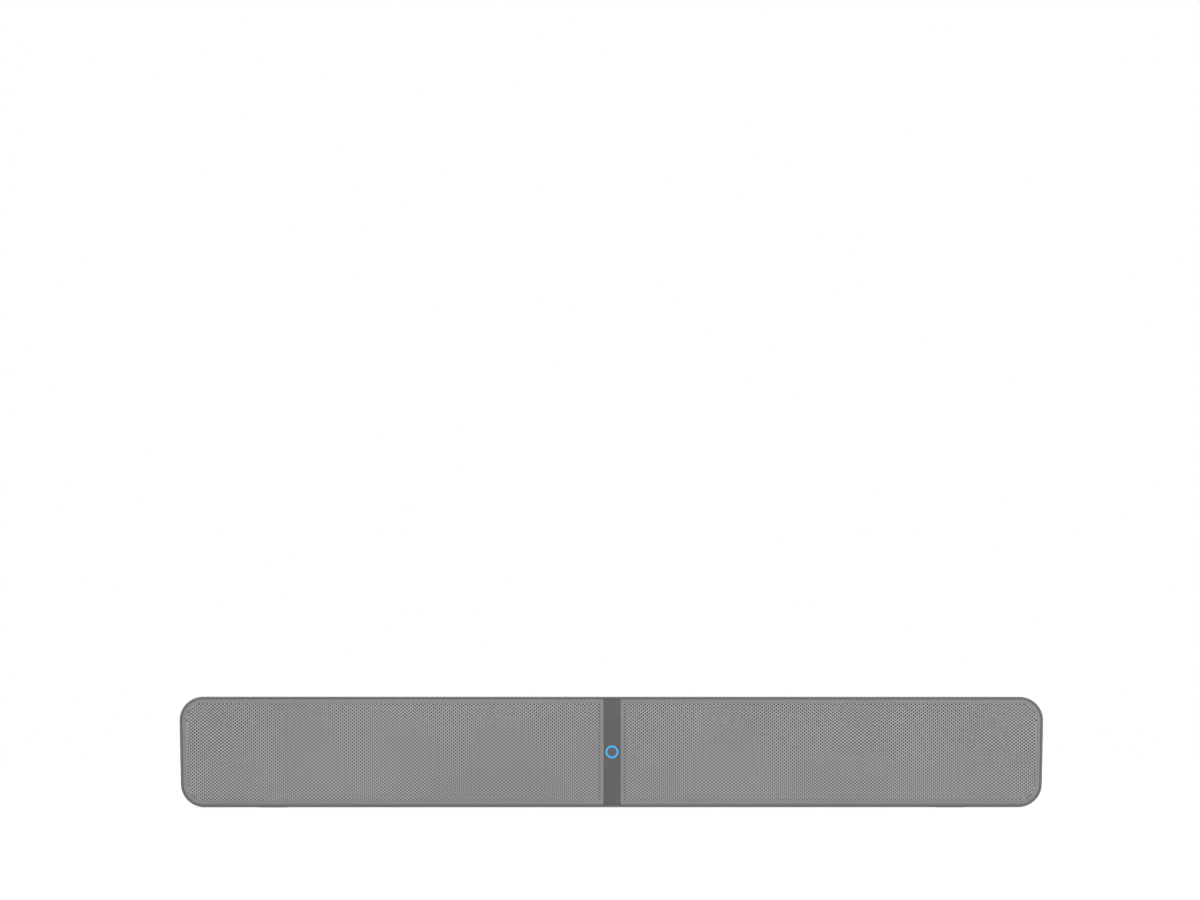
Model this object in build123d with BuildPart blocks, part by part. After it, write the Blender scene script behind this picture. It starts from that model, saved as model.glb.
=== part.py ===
from build123d import *

import math
import os

os.makedirs("parts", exist_ok=True)

# Cabinet
body_length = 1070
body_height = 136.5
body_depth = 70
corner_radius = 29
end_lean = 1.3
wall = 2.5
rear_round = 6
front_round = 1.2
partition_share = 0.14
partition_thickness = 3

# Clearances
fit_gap = 0.3
panel_gap = 0.15
slip_gap = 0.05
screw_gap = 0.1

# Front panels: the real panel has thousands of 2.3 mm holes, drawn here as fewer and larger
# ones with the same staggered pattern and the same open share
panel_recess = 0.6
sheet = 1
panel_flange = 6
panel_bend = 0.8
panel_corner = 2
plain_margin = 5
hole_pitch_x = 23
hole_pitch_z = 18
hole_diameter = 10.4
cloth_thickness = 0.5

# Centre strip, status ring and receiver window
ring_diameter = 16.2
ring_wall = 2.45
ring_lip = 1
ring_lip_thickness = 0.5
strip_border = 1.9
strip_thickness = 3
soft_edge = 0.4
peg_diameter = 4
peg_length = 8
peg_share = 0.4
window_depth = 2

# Baffle
baffle_front_depth = 11
baffle_thickness = 8
baffle_border = 3.2
spine_margin = 7
ledge_width = 4
ledge_thickness = 4

# Drivers: radii, and depths behind the mounting plane
woofer_frame = 54
woofer_roll = 7
woofer_depth = 46
woofer_coil = 10
woofer_magnet = 30
woofer_magnet_height = 10
woofer_cone_depth = 13
mid_frame = 37
mid_roll = 5
mid_depth = 32
mid_coil = 6.9
mid_magnet = 17.5
mid_cone_depth = 8
mid_coil_reach = 6
tweeter_frame = 27
tweeter_throat = 15.5
tweeter_flare = 3
tweeter_coil = 12.7
tweeter_depth = 17
tweeter_dome_height = 5.2
radiator_frame = 48
radiator_roll = 7
radiator_thickness = 3
radiator_hub = 16
radiator_hub_height = 6
driver_gap_count = 5
driver_flange = 3
skin = 0.7
glue_lip = 2.5
steel_plate = 5
steel_wall = 2
paper = 1.2
glue_sink = 0.4
former = 0.4
winding = 0.4
coil_gap = 0.3
cap_share = 1.35
spider_waves = 3
window_share = 0.6

# Fasteners
screw_radius = 1.5
screw_head = 2.5
screw_head_height = 2
screw_room = 0.5
screws_per_driver = 4
front_screw_length = 10
board_screw_length = 6
boss_radius = 4
boss_inset = 6
boss_length = 12
post_radius = 3

# Rear bay and its sockets
bay_width = 230
bay_height = 57
bay_depth_share = 0.343
bay_lip = 10
io_thickness = 1.5
socket_proud = 0.5
socket_depth = 14.5
power_size = (22, 13)
video_size = (15, 6)
optical_size = (12, 12)
media_size = (14.4, 7)
network_size = (16, 14)
plug_depth = 11
video_wall = 0.5
media_wall = 1
tongue_height = 1.6
tongue_setback = 1
tongue_margin = 2
inlet_width = 16.5
inlet_height = 8.6
pin_radius = 1.2
pin_pitch = 8.2
pin_length = 9
video_slope = 76
optical_opening = 9.2
optical_chamfer = 1.5
optical_lens = 1.1
optical_lens_length = 3.6
jack_width = 11.8
jack_height = 8
latch_width = 6
latch_height = 2.6

# Ventilation
vent_count = 13
vent_pitch = 10
vent_width = 3
vent_height = 22

# Boards
board = 1.6
board_clearance = 8
power_post = 5
chip_side = 12
chip_height = 1.5
can_radius = 4
can_height = 7
sink_width = 90
sink_height = 40
sink_base = 2
sink_clearance = 2.9
fin_count = 9
fin_thickness = 2
core_share = 0.75
core_plate_share = 0.15
winding_share = 0.25
transformer_share = 0.125
capacitor_share = 0.25
capacitor_radius = 9
capacitor_pitch = 27
capacitor_height = 21
led_side = 2
led_count = 6

# Buttons and their switches
button_names = ("power_button", "source_button", "volume_down_button", "volume_up_button")
button_length = 16
button_width = 9
button_proud = 0.2
button_pitch = 28
button_y = -2
collar_reach = 1.2
collar_height = 1.2
stem_radius = 2
stem_length = 3
button_travel = 0.5
switch_side = 6
switch_height = 3.4
plunger_radius = 1.7
plunger_height = 0.6
control_width = 20

# Feet and wall inserts
foot_proud = 0.4
foot_sink = 1.2
foot_length = 36
foot_width = 12
foot_end_distance = 115
foot_edge_distance = 17
insert_inner_spacing = 320
insert_outer_spacing = 520
insert_height = 45
insert_radius = 4.5
insert_bore = 2.5
insert_length = 10
insert_wall = 3

# Levels and outlines that follow from the sizes
past = 5
front_y = -body_depth / 2
back_y = body_depth / 2
bottom_z = foot_proud
top_z = bottom_z + body_height
mid_z = (bottom_z + top_z) / 2
inner_length = body_length - 2 * wall
inner_height = body_height - 2 * wall
inner_radius = corner_radius - wall
inner_back = back_y - wall
inner_top = top_z - wall

panel_front = front_y + panel_recess
panel_back = panel_front + panel_flange
panel_length = inner_length - 2 * panel_gap
panel_height = inner_height - 2 * panel_gap
panel_radius = inner_radius - panel_gap
panel_inset = wall + panel_gap

# How far the bottom corners stand in from the top ones, as the ends lean
corner_reach = body_length / 2 - corner_radius
corner_rise = body_height / 2 - corner_radius
lean_run = 2 * corner_rise * math.tan(math.radians(end_lean))
strip_width = ring_diameter + 2 * strip_border
strip_back = panel_front + strip_thickness
panel_start = strip_width / 2 + panel_gap
panel_width = panel_length / 2 - panel_start
panel_x = panel_start + panel_width / 2
spine_width = strip_width + 2 * spine_margin
peg_offset = panel_height * peg_share
pegs = [(0, -peg_offset), (0, peg_offset)]

baffle_front = front_y + baffle_front_depth
baffle_back = baffle_front + baffle_thickness
baffle_web = baffle_thickness / 2

# Drivers share the length between the partitions and the ends of the baffle
partition_x = body_length * partition_share
partition_face = partition_x + partition_thickness / 2
drivers_width = 2 * (radiator_frame + woofer_frame + mid_frame + tweeter_frame)
driver_room = panel_length / 2 - baffle_border - partition_face
driver_gap = (driver_room - drivers_width) / driver_gap_count
radiator_x = partition_face + driver_gap + radiator_frame
woofer_x = radiator_x + radiator_frame + driver_gap + woofer_frame
mid_x = woofer_x + woofer_frame + driver_gap + mid_frame
tweeter_x = mid_x + mid_frame + driver_gap + tweeter_frame
flange_width = glue_lip + 2 * (screw_head + screw_room)
screw_inset = screw_head + screw_room
woofer_seat = woofer_frame - flange_width
mid_seat = mid_frame - flange_width
radiator_seat = radiator_frame - glue_lip
woofer_lip = woofer_seat - woofer_roll
mid_lip = mid_seat - mid_roll
radiator_lip = radiator_seat - radiator_roll
tweeter_motor = tweeter_frame - screw_inset - screw_radius - steel_wall - screw_room
sides = (("left", -1), ("right", 1))

# Screws along the top and bottom of the baffle, between the drivers
case_rows = (
    (bay_width / 2 + partition_x) / 2,
    partition_face + boss_radius + screw_gap,
    radiator_x + radiator_frame + driver_gap / 2,
    woofer_x + woofer_frame + driver_gap / 2,
    panel_length / 2 - panel_radius,
)
case_z = inner_height / 2 - boss_inset
case_places = [(side * x, row * case_z) for x in case_rows for side in (-1, 1) for row in (-1, 1)]

# Rear bay, from its floor towards the front, and the boards
bay_depth = body_depth * bay_depth_share
bay_floor = back_y - bay_depth
bay_top = bottom_z + bay_height
bay_middle = bottom_z + bay_height / 2
io_back = bay_floor - io_thickness
flange_back = io_back - wall
socket_face = bay_floor + socket_proud
main_board_y = socket_face - socket_depth
main_front = main_board_y - board
sink_back = main_front - chip_height
fin_height = sink_back - sink_base - baffle_back - sink_clearance
post_x = bay_width / 2 - bay_lip / 2
main_post_z = bay_height / 2 - bay_lip
panel_screw_z = main_post_z - 2 * post_radius - 2 * screw_head
main_posts = [(sx * post_x, bay_middle - mid_z + sz * main_post_z) for sx in (-1, 1) for sz in (-1, 1)]
panel_places = [(sx * post_x, bay_middle - mid_z + sz * panel_screw_z) for sx in (-1, 1) for sz in (-1, 1)]

button_x = [(i - (len(button_names) - 1) / 2) * button_pitch for i in range(len(button_names))]
collar_top = inner_top - screw_gap
stem_end = collar_top - collar_height - stem_length
plunger_top = stem_end - button_travel - screw_gap
switch_top = plunger_top - plunger_height
control_top = switch_top - switch_height
control_post_x = button_x[-1] + button_length
control_posts = [(-control_post_x, 0), (control_post_x, 0)]
control_length = 2 * (control_post_x + 2 * post_radius)

power_low = bay_top + wall + board_clearance
power_high = control_top - board - board_clearance
power_height = power_high - power_low
power_width = bay_width - 2 * bay_lip
power_z = (power_low + power_high) / 2
power_back = inner_back - power_post
power_front = power_back - board
power_post_x = power_width / 2 - 2 * post_radius
power_post_z = power_height / 2 - 2 * post_radius
power_posts = [(sx * power_post_x, sz * power_post_z) for sx in (-1, 1) for sz in (-1, 1)]

# Sockets spread evenly over the bay's window, from -X to +X
window_width = bay_width - 2 * bay_lip
window_height = bay_height - 2 * bay_lip
socket_sizes = (power_size, video_size, optical_size, media_size, network_size)
socket_gap = (window_width - sum(size[0] for size in socket_sizes)) / (len(socket_sizes) + 1)
socket_x = []
edge = -window_width / 2
for size in socket_sizes:
    socket_x.append(edge + socket_gap + size[0] / 2)
    edge += socket_gap + size[0]
power_socket_x, video_x, optical_x, media_x, network_x = socket_x

foot_x = body_length / 2 - foot_end_distance
foot_y = body_depth / 2 - foot_edge_distance
foot_places = [(sx * foot_x, sy * foot_y) for sx in (-1, 1) for sy in (-1, 1)]
insert_z = bottom_z + insert_height - mid_z
insert_places = [
    (side * spacing / 2, insert_z)
    for spacing in (insert_inner_spacing, insert_outer_spacing)
    for side in (-1, 1)
]


def face_at(y, x=0, z=mid_z):
    return Plane(origin=(x, y, z), x_dir=(1, 0, 0), z_dir=(0, -1, 0))


def level(z, x=0, y=0):
    return Plane(origin=(x, y, z), x_dir=(1, 0, 0), z_dir=(0, 0, 1))


# Outline of the cabinet from the front, set in from its edge all round
def front_outline(inset):
    top = (corner_reach, corner_rise)
    bottom = (corner_reach - lean_run, -corner_rise)
    with BuildSketch(mode=Mode.PRIVATE) as whole:
        Polygon((-top[0], top[1]), top, bottom, (-bottom[0], bottom[1]), align=None)
        offset(amount=corner_radius - inset)
    return whole.sketch


def save(piece, name):
    piece.part.label = name
    export_step(piece.part, f"parts/{name}.step")


# Cabinet: a tub open at the front
with BuildPart() as room:
    with BuildSketch(face_at(inner_back)):
        add(front_outline(wall))
    extrude(amount=inner_back - front_y + past)
    fillet(room.faces().sort_by(Axis.Y)[-1].edges(), max(rear_round - wall, soft_edge))

with BuildPart() as rear_shell:
    with BuildSketch(face_at(back_y)):
        add(front_outline(0))
    extrude(amount=body_depth)
    fillet(rear_shell.faces().sort_by(Axis.Y)[-1].edges(), rear_round)
    fillet(rear_shell.faces().sort_by(Axis.Y)[0].edges(), front_round)
    add(room.part, mode=Mode.SUBTRACT)
    # Ledge that the baffle is screwed against
    with BuildSketch(face_at(baffle_back + ledge_thickness)):
        add(front_outline(wall / 2))
        add(front_outline(wall + ledge_width), mode=Mode.SUBTRACT)
    extrude(amount=ledge_thickness)
    # Screw bosses, joined to the wall
    with BuildSketch(face_at(baffle_back + boss_length)):
        with Locations(case_places):
            Circle(boss_radius)
        with Locations([(x, math.copysign(abs(z) + boss_inset / 2, z)) for x, z in case_places]):
            Rectangle(2 * boss_radius, boss_inset)
    extrude(amount=boss_length)
    # Partitions either side of the electronics
    with BuildSketch(face_at(inner_back)):
        with Locations((-partition_x, 0), (partition_x, 0)):
            Rectangle(partition_thickness, inner_height + wall)
    extrude(amount=inner_back - baffle_back - fit_gap)
    # Rear bay for the sockets, open to the back and to the bottom, with a window in its floor
    with BuildSketch(face_at(inner_back, z=bottom_z + (bay_height + wall + wall / 2) / 2)):
        Rectangle(bay_width + 2 * wall, bay_height + wall / 2)
    extrude(amount=inner_back - flange_back)
    with BuildSketch(face_at(back_y + past, z=bottom_z + (bay_height - past) / 2)):
        Rectangle(bay_width, bay_height + past)
    extrude(amount=back_y + past - io_back, mode=Mode.SUBTRACT)
    with BuildSketch(face_at(back_y, z=bay_middle)):
        Rectangle(window_width, window_height)
    extrude(amount=back_y - flange_back + past, mode=Mode.SUBTRACT)
    # Posts for the boards
    with BuildSketch(face_at(flange_back)):
        with Locations(main_posts):
            Circle(post_radius)
    extrude(amount=flange_back - main_board_y)
    with BuildSketch(face_at(inner_back, z=power_z)):
        with Locations(power_posts):
            Circle(post_radius)
    extrude(amount=power_post)
    with BuildSketch(level(control_top, y=button_y)):
        with Locations(control_posts):
            Circle(post_radius)
    extrude(amount=inner_top - control_top)
    # Bosses for the wall inserts
    with BuildSketch(face_at(inner_back)):
        with Locations(insert_places):
            Circle(insert_radius + insert_wall)
    extrude(amount=insert_length)
    with BuildSketch(face_at(back_y)):
        with Locations(insert_places):
            Circle(insert_radius + slip_gap)
    extrude(amount=insert_length, mode=Mode.SUBTRACT)
    # Screw holes
    with BuildSketch(face_at(baffle_front + baffle_web + front_screw_length + fit_gap)):
        with Locations(case_places):
            Circle(screw_radius + screw_gap)
    extrude(amount=front_screw_length, mode=Mode.SUBTRACT)
    with BuildSketch(face_at(main_front + board_screw_length + fit_gap)):
        with Locations(main_posts):
            Circle(screw_radius + screw_gap)
    extrude(amount=board_screw_length, mode=Mode.SUBTRACT)
    with BuildSketch(face_at(io_back + past)):
        with Locations(panel_places):
            Circle(screw_radius + screw_gap)
    extrude(amount=wall + 2 * past, mode=Mode.SUBTRACT)
    with BuildSketch(face_at(power_front + board_screw_length + fit_gap, z=power_z)):
        with Locations(power_posts):
            Circle(screw_radius + screw_gap)
    extrude(amount=board_screw_length, mode=Mode.SUBTRACT)
    with BuildSketch(level(control_top - board + board_screw_length + fit_gap, y=button_y)):
        with Locations(control_posts):
            Circle(screw_radius + screw_gap)
    extrude(amount=-board_screw_length, mode=Mode.SUBTRACT)
    # Button openings in the top
    with BuildSketch(level(top_z + past, y=button_y)):
        with Locations([(x, 0) for x in button_x]):
            SlotOverall(button_length, button_width)
    extrude(amount=-past - wall - screw_gap, mode=Mode.SUBTRACT)
    # Pockets for the feet
    with BuildSketch(level(bottom_z - past)):
        with Locations(foot_places):
            SlotOverall(foot_length, foot_width)
    extrude(amount=past + foot_sink, mode=Mode.SUBTRACT)
    # Ventilation behind the power board
    with BuildSketch(face_at(back_y + past, z=power_z)):
        with GridLocations(vent_pitch, vent_pitch, vent_count, 1):
            SlotOverall(vent_height, vent_width, rotation=90)
    extrude(amount=past + wall + fit_gap, mode=Mode.SUBTRACT)
save(rear_shell, "rear_shell")


# Places of a driver's screws round its centre
def driver_places(x, frame):
    circle = frame - screw_inset
    turn = math.pi / screws_per_driver
    angles = [turn * (2 * i + 1) for i in range(screws_per_driver)]
    return [(x + circle * math.cos(angle), circle * math.sin(angle)) for angle in angles]


screwed_drivers = (
    (woofer_x, woofer_frame, woofer_seat + steel_wall),
    (mid_x, mid_frame, mid_seat + steel_wall),
    (tweeter_x, tweeter_frame, tweeter_motor),
)
driver_screw_places = []
for x, frame, bore in screwed_drivers:
    driver_screw_places += driver_places(-x, frame) + driver_places(x, frame)

# Baffle: a board with a raised border and a raised spine
with BuildPart() as front_baffle:
    with BuildSketch(face_at(baffle_back)):
        add(front_outline(panel_inset))
    extrude(amount=baffle_back - panel_back)
    with BuildSketch(face_at(baffle_front)):
        add(front_outline(panel_inset + baffle_border))
        Rectangle(spine_width, body_height, mode=Mode.SUBTRACT)
    extrude(amount=baffle_front - panel_back + past, mode=Mode.SUBTRACT)
    with BuildSketch(face_at(baffle_front + driver_flange)):
        for x, frame, bore in screwed_drivers:
            with Locations((-x, 0), (x, 0)):
                Circle(frame + fit_gap)
    extrude(amount=driver_flange + past, mode=Mode.SUBTRACT)
    with BuildSketch(face_at(baffle_back + past)):
        for x, frame, bore in screwed_drivers:
            with Locations((-x, 0), (x, 0)):
                Circle(bore + fit_gap)
        with Locations((-radiator_x, 0), (radiator_x, 0)):
            Circle(radiator_seat - skin)
        with Locations(driver_screw_places + case_places):
            Circle(screw_radius + screw_gap)
    extrude(amount=baffle_thickness + 2 * past, mode=Mode.SUBTRACT)
    # Sunk heads of the screws that hold the baffle to the cabinet
    with BuildSketch(face_at(baffle_front + baffle_web)):
        with Locations(case_places):
            Circle(screw_head + fit_gap)
    extrude(amount=baffle_web + past, mode=Mode.SUBTRACT)
    # Holes for the strip's pegs
    with BuildSketch(face_at(panel_back + peg_length)):
        with Locations(pegs):
            Circle(peg_diameter / 2 + screw_gap)
    extrude(amount=peg_length + past, mode=Mode.SUBTRACT)
save(front_baffle, "front_baffle")


# Outline of the right-hand panel, set in from its edge all round
def half_panel(inset):
    with BuildSketch(mode=Mode.PRIVATE) as half:
        add(front_outline(panel_inset + inset))
        with Locations((panel_x, 0)):
            Rectangle(panel_width - 2 * inset, panel_height, mode=Mode.INTERSECT)
        fillet(half.vertices().sort_by(Axis.X)[:2], max(panel_corner - inset, soft_edge))
    return half.sketch


# Staggered holes that keep clear of the plain margin and of the round corners
def perforation():
    reach = plain_margin + hole_diameter / 2
    half_width = panel_width / 2 - reach
    half_height = panel_height / 2 - reach
    corner = max(panel_radius - reach, 0)
    columns = int(half_width / (hole_pitch_x / 2))
    rows = int(half_height / (hole_pitch_z / 2))
    places = []
    for row in range(-rows, rows + 1):
        for column in range(-columns, columns + 1):
            x = column * hole_pitch_x / 2
            z = row * hole_pitch_z / 2
            lower = min(max((corner_rise - z) / (2 * corner_rise), 0), 1)
            over_x = x - (half_width - corner - lower * lean_run)
            over_z = abs(z) - (half_height - corner)
            past_corner = over_x > 0 and over_z > 0 and math.hypot(over_x, over_z) > corner
            outside = over_x > corner or past_corner
            if (row + column) % 2 == 0 and not outside:
                places.append((panel_x + x, z))
    return places


with BuildPart() as grille_right:
    with BuildSketch(face_at(panel_back)):
        add(half_panel(0))
    extrude(amount=panel_flange)
    fillet(grille_right.faces().sort_by(Axis.Y)[0].edges(), panel_bend)
    with BuildSketch(face_at(panel_back)):
        add(half_panel(sheet))
    extrude(amount=panel_flange - sheet, mode=Mode.SUBTRACT)
    with BuildSketch(face_at(panel_back)):
        with Locations(perforation()):
            Circle(hole_diameter / 2)
    extrude(amount=panel_flange + past, mode=Mode.SUBTRACT)
save(grille_right, "grille_right")

with BuildPart() as grille_left:
    mirror(grille_right.part, about=Plane.YZ)
save(grille_left, "grille_left")

cloth_back = panel_front + sheet + fit_gap + cloth_thickness
with BuildPart() as grille_cloth_right:
    with BuildSketch(face_at(cloth_back)):
        add(half_panel(sheet + fit_gap))
    extrude(amount=cloth_thickness)
save(grille_cloth_right, "grille_cloth_right")

with BuildPart() as grille_cloth_left:
    mirror(grille_cloth_right.part, about=Plane.YZ)
save(grille_cloth_left, "grille_cloth_left")

# Strip, with pegs that go into the spine
peg_end = panel_back + peg_length - fit_gap
with BuildPart() as centre_strip:
    with BuildSketch(face_at(strip_back)):
        Rectangle(strip_width, panel_height)
        Circle(ring_diameter / 2 + slip_gap, mode=Mode.SUBTRACT)
    extrude(amount=strip_thickness)
    strip_face = centre_strip.faces().sort_by(Axis.Y)[0]
    fillet(strip_face.outer_wire().edges(), soft_edge)
    with BuildSketch(face_at(peg_end)):
        with Locations(pegs):
            Circle(peg_diameter / 2)
    extrude(amount=peg_end - strip_back)
save(centre_strip, "centre_strip")

ring_bore = ring_diameter / 2 - ring_wall
with BuildPart() as light_ring:
    with BuildSketch(face_at(strip_back)):
        Circle(ring_diameter / 2)
        Circle(ring_bore, mode=Mode.SUBTRACT)
    extrude(amount=strip_thickness)
    with BuildSketch(face_at(strip_back + ring_lip_thickness)):
        Circle(ring_diameter / 2 + ring_lip)
        Circle(ring_bore, mode=Mode.SUBTRACT)
    extrude(amount=ring_lip_thickness)
save(light_ring, "light_ring")

with BuildPart() as ir_window:
    with BuildSketch(face_at(panel_front + window_depth)):
        Circle(ring_bore - slip_gap)
    extrude(amount=window_depth)
    fillet(ir_window.faces().sort_by(Axis.Y)[0].edges(), soft_edge)
save(ir_window, "ir_window")

# Light board on the spine, with its lamps behind the ring and the receiver behind the window
light_front = panel_back - board
led_front = strip_back + ring_lip_thickness + screw_gap
with BuildPart() as light_board:
    with BuildSketch(face_at(panel_back)):
        Rectangle(strip_width - peg_diameter / 2, 2 * (peg_offset - 2 * peg_diameter))
    extrude(amount=board)
    with BuildSketch(face_at(light_front)):
        with PolarLocations((ring_diameter - ring_wall) / 2, led_count):
            Rectangle(led_side, led_side)
        Rectangle(2 * led_side, 2 * led_side)
    extrude(amount=light_front - led_front)
save(light_board, "light_board")


# Driver pieces are turned about the axis through the middle of each cone: a profile's
# points are (radius, distance in front of the mounting plane)
def turned(x, *profiles, cuts=()):
    plane = Plane(origin=(x, baffle_front, mid_z), x_dir=(1, 0, 0), z_dir=(0, 0, -1))
    with BuildPart() as piece:
        with BuildSketch(plane):
            for profile in profiles:
                with BuildLine():
                    profile()
                make_face()
        revolve(axis=Axis((x, baffle_front, mid_z), (0, -1, 0)))
        for shape, amount in cuts:
            extrude(shape, amount=amount, mode=Mode.SUBTRACT)
    return piece


def outline(*points):
    return lambda: Polyline(*points, close=True)


def dome(base_radius, base, height, thickness):
    outer = (base_radius**2 + height**2) / (2 * height)
    inner = outer - thickness
    centre = base + height - outer
    spread = math.asin(base_radius / outer)

    def at(radius, angle):
        return radius * math.sin(angle), centre + radius * math.cos(angle)

    def lines():
        ThreePointArc(at(outer, 0), at(outer, spread / 2), at(outer, spread))
        Line(at(outer, spread), at(inner, spread))
        ThreePointArc(at(inner, spread), at(inner, spread / 2), at(inner, 0))
        Line(at(inner, 0), at(outer, 0))

    return lines


def cone(neck, depth, lip):
    flat = lip - glue_lip
    return outline(
        (lip, 0),
        (flat, 0),
        (neck + paper, -depth),
        (neck, -depth),
        (neck, -depth - paper),
        (neck + paper, -depth - paper),
        (flat, -paper),
        (lip, -paper),
    )


# The dust cap sinks a little into the cone, where it is glued
def dust_cap(neck, depth, lip, coil):
    radius = coil * cap_share
    flat = lip - glue_lip
    run = (radius - neck - paper) / (flat - neck - paper)
    return dome(radius, -depth * (1 - run) - glue_sink, coil / 2, skin)


def surround(x, lip, seat):
    middle = (lip + seat) / 2
    height = (seat - lip) / 2

    def roll():
        ThreePointArc((lip, 0), (middle, height), (seat, 0))
        Line((seat, 0), (seat - skin, 0))
        ThreePointArc((seat - skin, 0), (middle, height - skin), (lip + skin, 0))
        Line((lip + skin, 0), (lip, 0))

    def foot(start, end):
        return outline((start, 0), (end, 0), (end, skin), (start, skin))

    inner_foot = foot(lip - glue_lip, lip + skin / 2)
    outer_foot = foot(seat - skin / 2, seat + glue_lip)
    return turned(x, roll, inner_foot, outer_foot)


def flange_holes(x, frame):
    with BuildSketch(face_at(baffle_front + driver_flange)) as holes:
        with Locations(driver_places(x, frame)):
            Circle(screw_radius + screw_gap)
    return holes.sketch, driver_flange


# Woofers
bowl = woofer_seat - skin
pole_top = 2 * steel_plate + woofer_magnet_height - woofer_depth
plate_back = pole_top - steel_plate
magnet_back = plate_back - woofer_magnet_height
gap_outside = woofer_coil + winding + coil_gap
gap_inside = woofer_coil - former - coil_gap
neck = woofer_coil - former
neck_end = -woofer_cone_depth - paper
spider_level = (pole_top + neck_end) / 2
spider_seat = woofer_magnet - steel_wall
spider_rim = (woofer_magnet + bowl) / 2 - steel_wall
spider_start = woofer_coil + slip_gap
spider_run = (spider_seat - spider_start - steel_wall) / (2 * spider_waves + 1)
spider_top = [(spider_start, spider_level + skin), (spider_start + spider_run, spider_level + skin)]
for i in range(1, 2 * spider_waves + 1):
    swing = spider_run / 2 if i % 2 else -spider_run / 2
    spider_top.append((spider_start + spider_run * i + spider_run / 2, spider_level + skin + swing))
spider_top += [(spider_seat, spider_level + skin), (spider_rim - slip_gap, spider_level + skin)]
spider_under = [(radius, height - skin) for radius, height in reversed(spider_top)]

for side_name, side in sides:
    x = side * woofer_x
    name = f"woofer_{side_name}"
    with BuildSketch(face_at(baffle_front - spider_level - steel_wall, x)) as windows:
        with PolarLocations((spider_rim + bowl) / 2, screws_per_driver):
            Rectangle((bowl - spider_rim) * window_share, woofer_seat / 2)
    basket = turned(
        x,
        outline(
            (bowl, 0),
            (woofer_frame, 0),
            (woofer_frame, -driver_flange),
            (bowl + steel_wall, -driver_flange),
            (spider_rim + steel_wall, spider_level - steel_wall / 2),
            (woofer_magnet, pole_top),
            (woofer_magnet, plate_back),
            (gap_outside, plate_back),
            (gap_outside, pole_top),
            (spider_seat - steel_wall, pole_top),
            (spider_seat, spider_level),
            (spider_rim, spider_level),
            (bowl, -driver_flange),
        ),
        cuts=(
            (windows.sketch, -spider_level - 2 * driver_flange),
            flange_holes(x, woofer_frame),
        ),
    )
    save(basket, f"{name}_basket")

    magnet = turned(
        x,
        outline(
            (gap_outside + steel_wall, plate_back),
            (woofer_magnet + steel_wall, plate_back),
            (woofer_magnet + steel_wall, magnet_back),
            (gap_outside + steel_wall, magnet_back),
        ),
    )
    save(magnet, f"{name}_magnet")

    yoke = turned(
        x,
        outline(
            (0, pole_top),
            (gap_inside, pole_top),
            (gap_inside, magnet_back),
            (woofer_magnet, magnet_back),
            (woofer_magnet, -woofer_depth),
            (0, -woofer_depth),
        ),
    )
    save(yoke, f"{name}_yoke")

    voice_coil = turned(
        x,
        outline(
            (neck, neck_end),
            (woofer_coil, neck_end),
            (woofer_coil, pole_top + winding),
            (woofer_coil + winding, pole_top + winding),
            (woofer_coil + winding, plate_back - steel_wall),
            (neck, plate_back - steel_wall),
        ),
    )
    save(voice_coil, f"{name}_voice_coil")

    spider = turned(x, outline(*spider_top, *spider_under))
    save(spider, f"{name}_spider")

    diaphragm = turned(
        x,
        cone(neck, woofer_cone_depth, woofer_lip),
        dust_cap(neck, woofer_cone_depth, woofer_lip, woofer_coil),
    )
    save(diaphragm, f"{name}_cone")
    save(surround(x, woofer_lip, woofer_seat), f"{name}_surround")

# Mid drivers
bowl = mid_seat - skin
pole_top = -mid_depth / 2
plate_back = pole_top - steel_wall
gap_outside = mid_coil + coil_gap
neck = mid_coil - former - winding
gap_inside = neck - coil_gap
for side_name, side in sides:
    x = side * mid_x
    name = f"mid_{side_name}"
    basket = turned(
        x,
        outline(
            (bowl, 0),
            (mid_frame, 0),
            (mid_frame, -driver_flange),
            (bowl + steel_wall, -driver_flange),
            (mid_magnet + steel_wall, pole_top + steel_wall),
            (mid_magnet, pole_top),
            (mid_magnet, plate_back),
            (gap_outside + steel_wall, plate_back),
            (gap_outside + steel_wall, pole_top),
            (mid_magnet - steel_wall, pole_top),
            (mid_magnet, pole_top + steel_wall),
            (bowl, -driver_flange),
        ),
        cuts=(flange_holes(x, mid_frame),),
    )
    save(basket, f"{name}_basket")

    motor = turned(
        x,
        outline(
            (0, pole_top),
            (gap_inside, pole_top),
            (gap_inside, steel_wall - mid_depth),
            (gap_outside, steel_wall - mid_depth),
            (gap_outside, plate_back),
            (mid_magnet, plate_back),
            (mid_magnet, -mid_depth),
            (0, -mid_depth),
        ),
    )
    save(motor, f"{name}_motor")

    coil_top = -mid_cone_depth - paper / 2
    diaphragm = turned(
        x,
        cone(neck, mid_cone_depth, mid_lip),
        dust_cap(neck, mid_cone_depth, mid_lip, mid_coil),
        outline(
            (neck, coil_top),
            (mid_coil, coil_top),
            (mid_coil, pole_top - mid_coil_reach),
            (neck, pole_top - mid_coil_reach),
        ),
    )
    save(diaphragm, f"{name}_cone")
    save(surround(x, mid_lip, mid_seat), f"{name}_surround")

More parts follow.
